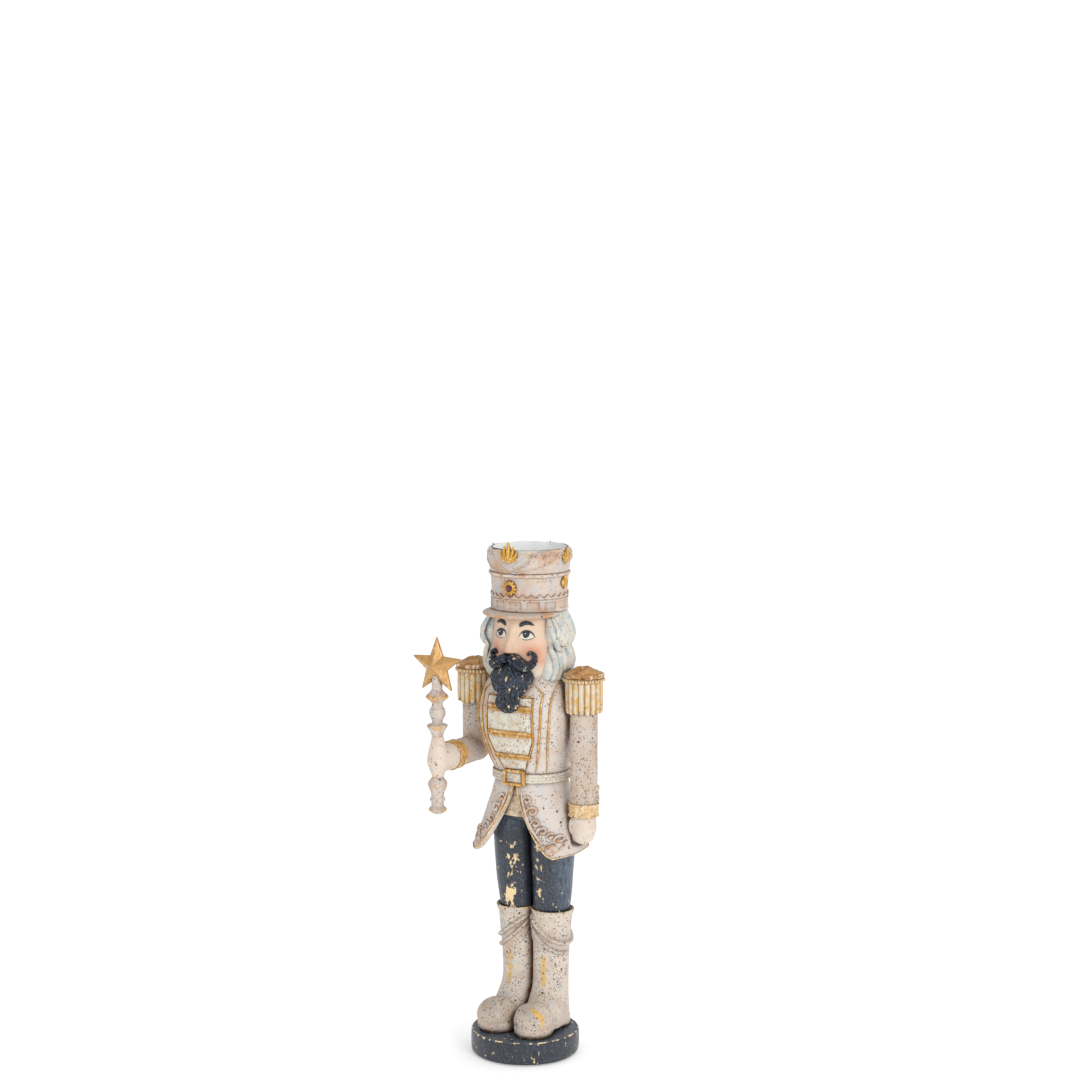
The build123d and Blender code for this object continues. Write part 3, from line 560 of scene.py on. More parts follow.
skirt_rows = mixed_rows([(128.6, 8.0, 39.0, 32.5), (140, 8.2, 34.3, 29.1), (152, 8.6, 30.0, 26.0),
                         (163, 8.8, 26.4, 23.3), (174.6, 9.0, 23.4, 20.9)], 120)
skirt_top, skirt_wall = 175.6, 3.4
edge_line = line_through([(0.6, 173.6), (3.0, 165), (6.4, 157), (14.6, 143), (20.6, 135), (24.2, 131.2),
                          (28.0, 129)], 70)


def skirt_at(angles, z, lift=0.0):
    """Points on the outside of the skirt."""
    y, a, d = sizes_at(skirt_rows, z)
    return ring(angles, 0, y, z, a + lift, d + lift)


def out_at(surface, angle, z):
    """A point on a surface at an angle and height, and the direction straight out from it."""
    here, right, up = (surface(np.array([angle + turn]), z + rise)[0]
                       for turn, rise in ((0, 0), (0.01, 0), (0, 0.2)))
    out = np.cross(right - here, up - here)
    return here, out / np.linalg.norm(out)


def facing(surface, x, z):
    """The point on the front of a surface at (x, z), and the direction straight out from it."""
    angles = np.linspace(-1.55, 1.55, 241)
    return out_at(surface, np.interp(x, surface(angles, z)[:, 0], angles), z)


def on_front(surface, line, lift=0.0):
    """A line of (x, z) points laid on the front of a surface: its path and its outward directions."""
    spots = [facing(surface, x, z) for x, z in line]
    return np.array([p + o * lift for p, o in spots]), np.array([o for _, o in spots])


def round_it(surface, line, lift=0.0):
    """The same for a line of (degrees, height) points, for a surface seen from any side."""
    spots = [out_at(surface, radians(a), z) for a, z in line]
    return np.array([p + o * lift for p, o in spots]), np.array([o for _, o in spots])


def taper(count, start=0.3, end=0.3, share=0.2):
    """Sizes along a bar that swell from its start and shrink to its end."""
    t = np.linspace(0, 1, count)
    size = np.minimum(1, np.minimum(start + (1 - start) * t / share, end + (1 - end) * (1 - t) / share))
    return np.stack([size, size], 1)


edge_angles = [float(np.arcsin(x / np.interp(z, skirt_rows[:, 0], skirt_rows[:, 2]))) for x, z in edge_line]
hem_angles = np.linspace(edge_angles[-1], pi, 110)[1:]
hem_rise = np.interp(np.degrees(hem_angles), [45.9, 70, 100, 180], [129.0, 130.6, 131.8, 131.4])
hem_rise += 0.25 * np.sin(9 * hem_angles) * (hem_angles > 1.2)
half_border = np.column_stack([np.concatenate([edge_angles, hem_angles]),
                               np.concatenate([edge_line[:, 1], hem_rise])])
border = np.vstack([half_border, half_border[-2::-1] * [-1, 1] + [2 * pi, 0]])

columns = []
climb = np.linspace(0, 1, 44)
under = np.linspace(0, pi, 9)[1:-1]
for angle, low in border:
    low = min(low, skirt_top - 0.4)
    foot = min(1.2, 0.3 * (skirt_top - low))
    heights = low + foot + (skirt_top - low - foot) * climb
    outside = [skirt_at(np.array([angle]), z)[0] for z in heights]
    inside = [skirt_at(np.array([angle]), z, -skirt_wall)[0] for z in heights[::-1]]
    lip = [skirt_at(np.array([angle]), low + foot * (1 - sin(a)), -skirt_wall * (1 + cos(a)) / 2)[0]
           for a in under]
    columns.append(outside + inside + lip)
skirt = cast("coat_skirt", stack(uneven(columns, 16.0, 0.18)))
arm_x, arm_y = 38.8, 5.6
p = corners(skirt)
from_arm = np.hypot(p[:, 0] - arm_x, p[:, 1] - arm_y)
beside = np.clip((p[:, 2] - 135.6) / 1.2, 0, 1)
push = 1 + beside * (np.where(from_arm < 8.5, 8.5 / np.maximum(from_arm, 1), 1) - 1)
p[:, 0] = arm_x + (p[:, 0] - arm_x) * push
p[:, 1] = arm_y + (p[:, 1] - arm_y) * push
reshape(skirt, p)
put(skirt, coat, "greige_paint", "coat_skirt")

run = np.column_stack([border[:, 0] * 33, border[:, 1]])
ahead = np.gradient(run, axis=0)
ahead /= np.linalg.norm(ahead, axis=1)[:, None]
inset = run + 0.75 * np.column_stack([-ahead[:, 1], ahead[:, 0]])
cord_path, cord_ups = round_it(skirt_at, np.column_stack([np.degrees(inset[:, 0] / 33), inset[:, 1]]))
on_tail = np.exp(-np.maximum(0, np.minimum(border[:, 0], 2 * pi - border[:, 0]) - 0.75) * 5)
cord_size = np.column_stack([0.45 + 0.55 * on_tail, 0.35 + 0.65 * on_tail])
edge_cord = cast("skirt_edge_cord", bar(cord_path, cord_ups, half_round(1.15, 0.85), size=cord_size))
edge_gilt = paint("pale_gold_paint", base="dcbb8a", warm="b98744", cool="efe2c6", wash="6b4420", dot="4a2f18",
                  chip="f4ead2", scale=300, warm_amount=0.9, cool_amount=0.9, reach=0.0016, strength=0.7,
                  dots=(0.10, 0.3), flakes=(460.0, 0.20, 0.2), rough=0.42, metal=0.08)
put(edge_cord, edge_gilt, "gold_paint", "skirt_edge_cord")

relief_gilt = paint("relief_rubbed_with_gold", base="dacdc2", warm="c08f66", cool="c6cdd0", wash="7c5b47",
                    dot="3f261b", chip="d9a560", scale=190, warm_amount=0.95, reach=0.0018, strength=0.7,
                    dots=(0.2, 0.45), flakes=(300.0, 0.25, 0.2))


def curl(centre, radius, start, turn, count=40):
    """A shrinking spiral of (x, z) points; start and turn are in degrees."""
    t = np.linspace(0, 1, count)
    angle = np.radians(start + turn * t)
    shrunk = radius * (1 - 0.72 * t)
    return np.column_stack([centre[0] + shrunk * np.cos(angle), centre[1] + shrunk * np.sin(angle)])


def raised(surface, line, width, height, sizes=None):
    """A raised line modelled on the front of a surface."""
    path, ups = on_front(surface, line)
    return bar(path, ups, half_round(width, height, 0.9), size=taper(len(line)) if sizes is None else sizes)


def dab(surface, centre, outline, rise, sunk=0.5, rows=7):
    """A low domed patch with an (x, z) outline on the front of a surface."""
    centre, outline = np.asarray(centre, float), np.asarray(outline, float)
    rings = []
    for share, lift in [(1, -sunk)] + [(1 - (k / rows) ** 1.3 * 0.97, rise * sin(pi / 2 * (k / rows) ** 0.6))
                                       for k in range(rows + 1)]:
        path, ups = on_front(surface, centre + (outline - centre) * share, 0)
        rings.append(path + ups * lift)
    return stack(rings)


def rounded(centre, across, high, count=28, turn=0.0):
    """An oval (x, z) outline, turned by degrees."""
    a = np.linspace(0, 2 * pi, count, endpoint=False)
    x, z, t = across * np.cos(a), high * np.sin(a), radians(turn)
    return np.column_stack([centre[0] + x * cos(t) - z * sin(t), centre[1] + x * sin(t) + z * cos(t)])


vine = [
    raised(skirt_at, line_through([(4.6, 170.5), (6.3, 163.5), (9.0, 156.2), (12.6, 149.2), (17.0, 143.2),
                                   (21.4, 138.4), (23.8, 136.6)], 70), 1.9, 1.3),
    *[raised(skirt_at, curl(centre, radius, start, turn), width, height)
      for centre, radius, start, turn, width, height in (
          ((8.9, 164.3), 2.5, 200, -420, 1.8, 1.5), ((12.8, 157.6), 3.1, 190, -430, 1.9, 1.6),
          ((15.6, 150.6), 2.4, 185, -400, 1.7, 1.5), ((20.0, 146.0), 2.5, 230, -430, 1.7, 1.5),
          ((24.3, 143.2), 2.0, 220, -400, 1.6, 1.4), ((28.6, 141.0), 2.6, 235, -430, 1.8, 1.5))],
    *[raised(skirt_at, line_through(sprig, 24), 1.2, 1.0) for sprig in (
        [(23.6, 137.6), (25.8, 139.6), (28.0, 138.4)], [(8.6, 156.8), (10.2, 159.8), (9.6, 162.0)],
        [(12.2, 149.8), (14.0, 152.6), (13.2, 155.0)], [(16.4, 143.9), (17.4, 147.4), (19.0, 148.6)])],
    dab(skirt_at, (26.0, 134.9), rounded((26.0, 134.9), 3.5, 3.0), 0.9),
    raised(skirt_at, curl((26.0, 134.9), 3.2, 60, 340), 1.0, 1.4),
    raised(skirt_at, line_through([(29.6, 134.4), (31.0, 137.0), (31.4, 140.4)], 24), 1.4, 1.0),
]
for side, name in ((1, "left"), (-1, "right")):
    scroll = cast(f"skirt_scroll_{name}", together(*[f if side > 0 else mirrored(f) for f in vine]))
    put(scroll, relief_gilt, "greige_paint", f"skirt_scroll_{name}")

# ---- Waistcoat hem ----
# Below the buckle a speckled cream apron shows between the coat tails, over the top of the trousers.
cream = paint("cream_paint", base="dcd8ca", warm="bd8e60", cool="c0cbc6", wash="8a6644", dot="6d4024",
              scale=190, warm_amount=0.7, cool_amount=0.75, reach=0.0020, strength=0.8, dots=(0.12, 0.95))
speckled = paint("apron_paint", base="d3c3a6", warm="9f7148", cool="e0dac8", wash="6d4a2e", dot="5f3a22",
                 scale=260, warm_amount=0.95, cool_amount=0.8, reach=0.003, strength=1.0, dots=(0.3, 1.0))
apron_rows = mixed_rows([(152.8, 9.0, 25.2, 21.6), (160, 9.1, 24.0, 20.4), (174.4, 9.4, 21.6, 18.3)], 40)


def apron_at(angles, z, lift=0.0):
    """Points on the outside of the apron."""
    y, a, d = sizes_at(apron_rows, z)
    return ring(angles, 0, y, z, a + lift, d + lift)


def plate(surface, rows, rise, sunk=0.8, count=44, soft=0.7, steps=40):
    """A low plate with rounded edges on the front of a surface; rows give height, left x and right x."""
    rows = np.asarray(rows, float)
    share = (1 - np.cos(np.linspace(0, pi, steps))) / 2
    heights = rows[0, 0] + (rows[-1, 0] - rows[0, 0]) * share
    rings = []
    for z in heights:
        left, right = np.interp(z, rows[:, 0], rows[:, 1]), np.interp(z, rows[:, 0], rows[:, 2])
        x = left + (right - left) * (1 - np.cos(np.linspace(0, pi, count))) / 2
        near = np.minimum(np.minimum(x - left, right - x), min(z - rows[0, 0], rows[-1, 0] - z))
        lift = rise * np.sqrt(1 - (1 - np.clip(near / soft, 0, 1)) ** 2)
        spots = [facing(surface, a, z) for a in x]
        rings.append([p + o * h for (p, o), h in zip(spots, lift)]
                     + [p - o * sunk for p, o in spots[::-1]])
    return stack(rings)


apron = cast("waistcoat_hem", plate(apron_at, [(153.2, -11.5, 11.5), (160, -8.5, 8.5), (174, -4.0, 4.0)],
                                    0.6))
put(apron, speckled, "cream_paint", "waistcoat_hem")

# ---- Torso and belt ----
# The body is one casting, broad at the chest and narrow at the waist, painted warm grey and flecked
# brown. A cream belt with three ribs is modelled round it, under a gold buckle.
torso_rows = mixed_rows([(180.4, 23.4, 20.9, 9.0, 20.0), (185, 24.3, 21.3, 8.0, 19.8),
                         (191, 25.6, 22.0, 6.4, 19.5), (203, 28.0, 22.4, 3.4, 18.5),
                         (213, 29.2, 22.6, 2.6, 18.0), (224, 28.8, 22.0, 2.6, 17.5),
                         (235, 25.5, 19.0, 3.2, 16.0), (242, 20.5, 16.0, 4.0, 14.0),
                         (246, 15.5, 13.0, 4.6, 12.0)],
                        170)
belt_head = 181.0


def torso_at(angles, z, lift=0.0):
    """Points on the outside of the torso, squarer than an oval across the chest."""
    a, b, y, r = sizes_at(torso_rows, z)
    across, deep = np.sin(angles), -np.cos(angles)
    flat = [np.tanh(3 * v) / np.tanh(3) for v in (across, deep)]
    return np.stack([(a - r) * flat[0] + (r + lift) * across, y + (b - r) * flat[1] + (r + lift) * deep,
                     z + 0 * angles], axis=-1)


def belt_at(angles, z, lift=0.0):
    """Points round the waist, where the belt lies."""
    return torso_at(angles, belt_head, lift) + [0, 0, z - belt_head]


def band(surface, profile, angles=TURN):
    """A closed band round a surface; its profile gives (height, lift) round the band's section."""
    return stack([surface(angles, z, lift) for z, lift in profile], joined_ends=True)


torso_heights = np.concatenate([[176.4, 178.4], torso_rows[:, 0]])
torso = cast("torso", stack(uneven([torso_at(TURN, z) for z in torso_heights], 16.0, 0.15)))
put(torso, coat, "greige_paint", "torso")
belt_profile = [(174.8, -0.8), (174.8, 0.7), (175.1, 1.2), (175.8, 1.4), (176.4, 1.25), (176.65, 0.95),
                (176.9, 1.2), (177.6, 1.35), (178.2, 1.2), (178.45, 0.95), (178.7, 1.25), (179.3, 1.4),
                (180.0, 1.2), (180.4, 0.7), (180.4, -0.8)]
belt = cast("belt", band(belt_at, belt_profile))
put(belt, cream, "cream_paint", "belt")

buckle_z, buckle_front = 177.8, -13.5
frame_line = line_through([(-6.6, 4.1), (-3, 4.25), (3, 4.2), (6.5, 4.15)], 20).tolist() \
    + line_through([(6.75, 3.8), (6.65, 0), (6.7, -3.8)], 16).tolist() \
    + line_through([(6.4, -4.2), (3, -4.15), (-3, -4.2), (-6.4, -4.1)], 20).tolist() \
    + line_through([(-6.75, -3.8), (-6.6, 0), (-6.75, 3.8)], 16).tolist()
frame_path = [(x, buckle_front, buckle_z + z) for x, z in frame_line]
frame_section = [(-0.95, -0.9), (-1.0, 0.5), (-0.7, 1.1), (0.0, 1.35), (0.7, 1.1), (1.0, 0.5), (0.95, -0.9)]
buckle = cast("belt_buckle", bar(frame_path, [(0, -1, 0)] * len(frame_path), frame_section, joined_ends=True))
put(buckle, gilt, "gold_paint", "belt_buckle")
tongue_rows = [[(x, buckle_front - 0.25 - 0.18 * cos(2 * pi * z / 2.1), buckle_z + z) for x in (-6, 6)]
               + [(x, buckle_front + 1.6, buckle_z + z) for x in (6, -6)] for z in np.linspace(-3.8, 3.8, 32)]
tongue = cast("belt_in_buckle", stack(tongue_rows))
put(tongue, cream, "cream_paint")

# ---- Chest ----
# A cream plastron is modelled on the chest under three carved gold bars, with small cream tabs above the
# top bar. Lines of gold piping run down the coat fronts on both sides.
panel_rows = [(183.0, -7.4, 7.4), (203, -15.4, 15.4), (229.2, -15.4, 15.4)]
panel = cast("chest_panel", plate(torso_at, panel_rows, 0.7))
put(panel, cream, "cream_paint", "chest_panel")


def carved_bar(z, half, high):
    """A bar across the chest with two ridges along it and cut-off ends."""
    section = [(-0.5, -0.35), (-0.5, 0.45), (-0.36, 0.95), (-0.2, 1.0), (-0.05, 0.62), (0.12, 0.66),
               (0.26, 1.0), (0.4, 0.95), (0.5, 0.45), (0.5, -0.35)]
    line = line_through([(-half, z + 0.25), (-half / 2, z - 0.1), (half / 2, z + 0.05), (half, z - 0.2)], 60)
    end = np.clip(np.minimum(np.arange(60), np.arange(60)[::-1]) / 5, 0, 1)
    size = np.column_stack([high * (0.62 + 0.38 * end), 2.1 * (0.45 + 0.55 * end)])
    path, ups = on_front(torso_at, line, 0.1)
    return bar(path, ups, section, size=size)


bars = cast("chest_bars", together(carved_bar(222.4, 15.6, 4.1), carved_bar(206.7, 15.6, 4.1),
                                   carved_bar(192.2, 12.6, 3.6)))
put(bars, gilt, "gold_paint", "chest_bars")

piping_lines = [
    (line_through([(12.2, 238.4), (16.6, 235.6), (20.2, 232.2), (20.6, 229), (20.4, 212), (17.6, 196),
                   (13.2, 181.6)], 120), 1.3, 1.0),
    (line_through([(24.2, 238), (24.8, 230), (24.8, 214), (22.4, 198), (18.6, 181.6)], 110), 1.3, 1.0),
    (line_through([(15.9, 230.2), (15.9, 216), (15.8, 203), (12.2, 193.6), (8.0, 183.2)], 110), 0.95, 1.15),
    (line_through([(4.0, 230.0), (10, 229.9), (15.8, 229.6)], 40), 1.1, 1.3),
    (line_through([(15.5, 225.4), (15.7, 227.4), (15.6, 229.6)], 14), 1.1, 1.3),
]
for side, name in ((1, "left"), (-1, "right")):
    forms = [raised(torso_at, line * [side, 1], w, h) for line, w, h in piping_lines]
    piping = cast(f"coat_piping_{name}", together(*forms))
    put(piping, gilt, "gold_paint", *(["coat_piping"] if side > 0 else []))
tabs = cast("chest_tabs", together(plate(torso_at, [(224.6, 5.5, 15.2), (229.3, 5.5, 15.2)], 1.15, soft=0.5),
                                   plate(torso_at, [(224.6, -15.2, -5.5), (229.3, -15.2, -5.5)], 1.15,
                                         soft=0.5)))
put(tabs, cream, "cream_paint")

# ---- Arms ----
# Round sleeves hang from the shoulders, the left one straight and the right one bent forward at the elbow.
# Each ends in a gold cuff band over a plain mitten hand; pins inside hold the joints of the castings.
forearm_z, cuff_low, cuff_back = 190.0, 154.5, -19.0
steel, steel_tree, steel_skin = new_material("steel_rod", Metallic=1.0, Roughness=0.35)
steel_grain = noise(steel_tree, 900, 3, 0.6, (1, 1, 0.05))
steel_tree.links.new(blend(steel_tree, steel_grain, colour("8d9094"), colour("b9bcc0")),
                     steel_skin.inputs["Base Color"])
for rod in ("leg_rods", "spine_rod", "arm_pins", "wrist_pins"):
    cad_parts[rod].data.materials.clear()
    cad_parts[rod].data.materials.append(steel)


def arm_at(angles, z, lift=0.0):
    """Points on the outside of the straight left sleeve."""
    r = np.interp(z, [150, 163, 190, 215, 241], [8.5, 8.55, 8.45, 8.65, 8.6])
    return ring(angles, arm_x, arm_y, z, r + lift, r + lift)


def forward(form, x, y, z):
    """Turns a form made upright so that its top points to the figure's front, and sets it in place."""
    v = form[0]
    return np.column_stack([v[:, 0] + x, y - v[:, 2], z + v[:, 1]]), form[1]


def turned(profile, x=0.0, y=0.0, angles=TURN[::3]):
    """A turned shape from (radius, height) points."""
    return stack([ring(angles, x, y, z, r, r) for r, z in profile])


# The sleeves take a darker copy of the coat paint, painted shade, with more brown spatter.
shaded_sleeve_paint = paint("shaded_sleeve_paint", base="cbbdaf", warm="b58c6c", cool="bcc3c6", wash="6b4c3a", dot="43261a",
                     scale=60, warm_amount=0.6, cool_amount=0.55, reach=0.004, strength=0.9,
                     dots=(0.46, 0.80))
sleeve = cast("sleeve_left", stack(uneven([arm_at(TURN[::2], z) for z in np.linspace(154.8, 241.0, 120)],
                                          11, 0.18)))
put(sleeve, shaded_sleeve_paint, "greige_paint", "sleeve_left")
flap_line = line_through([(72, 171.5), (92, 172.8), (108, 170.4), (124, 173.2), (142, 170.6), (158, 173.0),
                          (178, 170.8), (196, 171.6)], 90)
flap_forms = []
for line, width in ((flap_line, 1.6), (flap_line - [0, 6.6], 1.3)):
    path, ups = round_it(arm_at, line)
    flap_forms.append(bar(path, ups, half_round(width, 1.25, 1.0), size=taper(len(line))))
for angle in (106, 140, 174):
    path, ups = round_it(arm_at, curl((angle / 7.0, 167.6), 2.1, 200, -400) * [7.0, 1])
    flap_forms.append(bar(path, ups, half_round(1.4, 1.1, 1.0), size=taper(len(path))))
flap = cast("sleeve_flap", together(*flap_forms))
put(flap, relief_gilt, "greige_paint")

upper = turned([(8.5, z) for z in np.linspace(187, 241, 60)], -arm_x, arm_y)
fore = forward(turned([(8.5, z) for z in np.linspace(-3.0, 24.0, 40)] + [(8.3, 28.0), (8.1, 31.8)]),
               -arm_x, arm_y, forearm_z)
elbow = blob((-arm_x, arm_y + 0.2, forearm_z - 0.2), (8.55, 8.7, 8.7), 64)
bent = fused("sleeve_right", [upper, fore, elbow], 0.6, 5)
put(bent, shaded_sleeve_paint, "greige_paint", "sleeve_right")

cuff_profile = [(0.0, -0.8), (0.0, 0.6), (0.35, 1.1), (1.0, 1.2), (1.4, 0.75), (2.0, 0.65), (4.2, 0.75),
                (6.4, 0.65), (7.1, 0.75), (7.5, 1.2), (8.15, 1.1), (8.5, 0.6), (8.5, -0.8)]
left_cuff = cast("cuff_band_left", band(arm_at, [(cuff_low + z, lift) for z, lift in cuff_profile]))
put(left_cuff, edge_gilt, "gold_paint", "cuff_band_left")
right_profile = stack([ring(TURN[::2], 0, 0, 0.94 * z - cuff_back, 8.1 + lift, 8.1 + lift)
                       for z, lift in cuff_profile], joined_ends=True)
right_cuff = cast("cuff_band_right", forward(right_profile, -arm_x, 0, forearm_z))
put(right_cuff, gilt, "gold_paint", "cuff_band_right")

skin = paint("hand_paint", base="ddd0c2", warm="cfa27f", cool="d3d5cf", wash="8f6a50", dot="6a4230",
             scale=110, warm_amount=0.45, cool_amount=0.4, reach=0.003, strength=0.6, dots=(0.10, 0.22))
mitten = [
    turned([(7.5, 155.6), (7.6, 152.5), (7.9, 149.5)], arm_x, arm_y),
    blob((arm_x, arm_y - 0.2, 147.2), (8.2, 7.9, 8.6), 64),
    blob((arm_x - 0.6, arm_y - 0.8, 142.2), (6.6, 6.4, 5.4)),
    blob((arm_x - 5.0, arm_y - 4.6, 148.2), (2.9, 2.6, 5.6)),
    blob((arm_x + 3.4, arm_y - 1.5, 142.8), (4.4, 5.0, 4.6)),
]
left_hand = fused("hand_left", mitten, 0.5, 4)
put(left_hand, skin, "skin_paint", "hand_left")

# ---- Staff and star ----
# The right fist closes on a turned staff that carries a five-pointed gold star. The staff is a separate
# casting; the fist is modelled to run a little way up and down it.
staff_y = -40.5
fist = [
    forward(turned([(8.5, 26.4), (8.5, 29.0), (8.2, 33.0), (7.5, 37.0), (6.6, 41.0)]), -arm_x, 0, forearm_z),
    blob((-arm_x, staff_y + 1.0, forearm_z - 0.3), (7.0, 7.3, 8.5), 64),
    turned([(6.2, 190), (6.0, 194.5), (5.2, 198.0), (4.4, 201.0), (3.7, 204.5), (3.0, 208.0)], -arm_x,
           staff_y + 0.4),
    turned([(3.2, 178.0), (4.0, 180.8), (5.4, 184.0), (6.2, 188.0)], -arm_x, staff_y + 0.4),
]
right_hand = fused("hand_right", fist, 0.5, 5)
put(right_hand, skin, "skin_paint", "hand_right")


def worn(profile, step=0.28, passes=3):
    """A turned profile with its corners rounded by sanding."""
    p = np.asarray(profile, float)
    run = np.concatenate([[0], np.cumsum(np.linalg.norm(np.diff(p, axis=0), axis=1))])
    at = np.linspace(0, run[-1], int(run[-1] / step) + 2)
    p = np.column_stack([np.interp(at, run, p[:, 0]), np.interp(at, run, p[:, 1])])
    for _ in range(passes):
        p[1:-1] = (p[:-2] + 2 * p[1:-1] + p[2:]) / 4
    return p


staff_profile = [(0.2, 156.0), (2.6, 156.2), (4.4, 157.3), (5.9, 158.9), (5.3, 160.0), (3.9, 161.0),
                 (3.8, 163.8), (4.9, 164.7), (4.8, 165.7), (3.9, 166.8), (4.1, 169.6), (5.4, 172.2),
                 (6.1, 174.6), (5.6, 176.6), (3.9, 178.8), (3.0, 180.2), (3.0, 203.0), (3.5, 205.2),
                 (4.6, 208.0), (6.5, 211.2), (6.3, 212.1), (3.4, 213.0), (3.2, 214.4), (3.8, 215.8),
                 (4.9, 217.8), (5.2, 219.8), (4.7, 221.8), (3.7, 223.2), (3.3, 224.4), (3.4, 226.0),
                 (5.2, 227.6), (7.2, 229.2), (6.9, 230.4), (4.6, 232.4), (3.3, 234.0), (3.1, 243.0),
                 (0.2, 243.2)]
staff_paint = paint("staff_paint", base="d0c5bb", warm="b48a6e", cool="bcc4c9", wash="6b4c3d", dot="4a2b1e",
                    chip="d8ac72", scale=130, warm_amount=0.7, cool_amount=0.5, reach=0.003, strength=0.95,
                    dots=(0.2, 0.5), flakes=(260.0, 0.08, 0.30))
staff_form = turned(worn(staff_profile), -arm_x, staff_y, TURN[::4])
staff = cast("staff", (uneven(staff_form[0], 6.0, 0.14), staff_form[1]))
staff_points = corners(staff)
mark(staff, np.clip((np.hypot(staff_points[:, 0] + arm_x, staff_points[:, 1] - staff_y) - 4.6) / 1.6, 0, 1))
put(staff, staff_paint, "greige_paint", "staff")

star_z, star_r, notch_r, star_peak, star_rim = 248.6, 18.4, 7.9, 6.4, 0.8
star_ring = [((star_r if i % 2 == 0 else notch_r) * sin(pi * i / 5), (star_r if i % 2 == 0 else notch_r)
              * cos(pi * i / 5)) for i in range(10)]
star_verts = [(x - arm_x, staff_y + y, star_z + z) for y in (-star_rim, star_rim) for x, z in star_ring]
star_verts += [(-arm_x, staff_y - star_peak, star_z), (-arm_x, staff_y + 0.6 * star_peak, star_z)]
star_faces = [[i, (i + 1) % 10, 20] for i in range(10)] + [[10 + (i + 1) % 10, 10 + i, 21] for i in range(10)]
star_faces += [[(i + 1) % 10, i, 10 + i, 10 + (i + 1) % 10] for i in range(10)]
star = fused("star", [(np.array(star_verts), star_faces)], 0.36, 3)
star_points = corners(star)
star_out = np.hypot(star_points[:, 0] + arm_x, star_points[:, 2] - star_z)
star_turn = np.arctan2(star_points[:, 0] + arm_x, star_points[:, 2] - star_z)
on_ridge = bump(np.sin(2.5 * star_turn) * star_out, 0, 1.6)
mark(star, 0.5 * on_ridge * (star_out > 2) + 0.35 * bump(star_points[:, 2] - star_z, -12, 5))
star_gold = paint("star_gold", base="cb9d60", warm="9c6a36", cool="dcb67e", wash="643c1a", dot="4d3018",
                  chip="f0dab4", scale=300, warm_amount=0.5, cool_amount=0.6, reach=0.004, strength=0.8,
                  dots=(0.05, 0.10), flakes=(420.0, 0.14, 0.24), rough=0.34, metal=0.25)
put(star, star_gold, "gold_paint", "star")

# ---- Epaulettes ----
# Each shoulder carries a round cap with a swirled top over a ring of beads and thick fringe strands, cream
# with gold rubbed on the ridges.
fringe_low, fringe_top = 219.5, 241.4
strands = 18
cap_profile = worn([(0.2, 248.3), (2.2, 248.0), (4.6, 247.2), (7.0, 246.4), (9.0, 245.5), (10.4, 244.5),
                    (11.6, 244.3), (12.5, 243.9), (12.8, 243.0), (12.6, 242.2), (11.9, 241.7), (10.8, 241.2),
                    (0.2, 241.0)], 0.3, 2)
swirl_gold = paint("epaulette_top_gold", base="b98645", warm="7a4519", cool="d9b78c", wash="4d2a10",
                   dot="3a2312", chip="f0dcc0", scale=200, warm_amount=0.95, cool_amount=0.7, reach=0.003,
                   strength=0.9, dots=(0.10, 0.25), flakes=(520.0, 0.12, 0.26), rough=0.36, metal=0.2)
fringe_paint = paint("fringe_paint", base="ddd0b8", warm="d3a55a", cool="cfd2c8", wash="8f5f1f", dot="4a3018",
                     chip="dca94a", scale=170, warm_amount=0.9, cool_amount=0.5, reach=0.0020, strength=1.0,
                     dots=(0.08, 0.16), flakes=(260.0, 0.21, 0.24), rough=0.45)
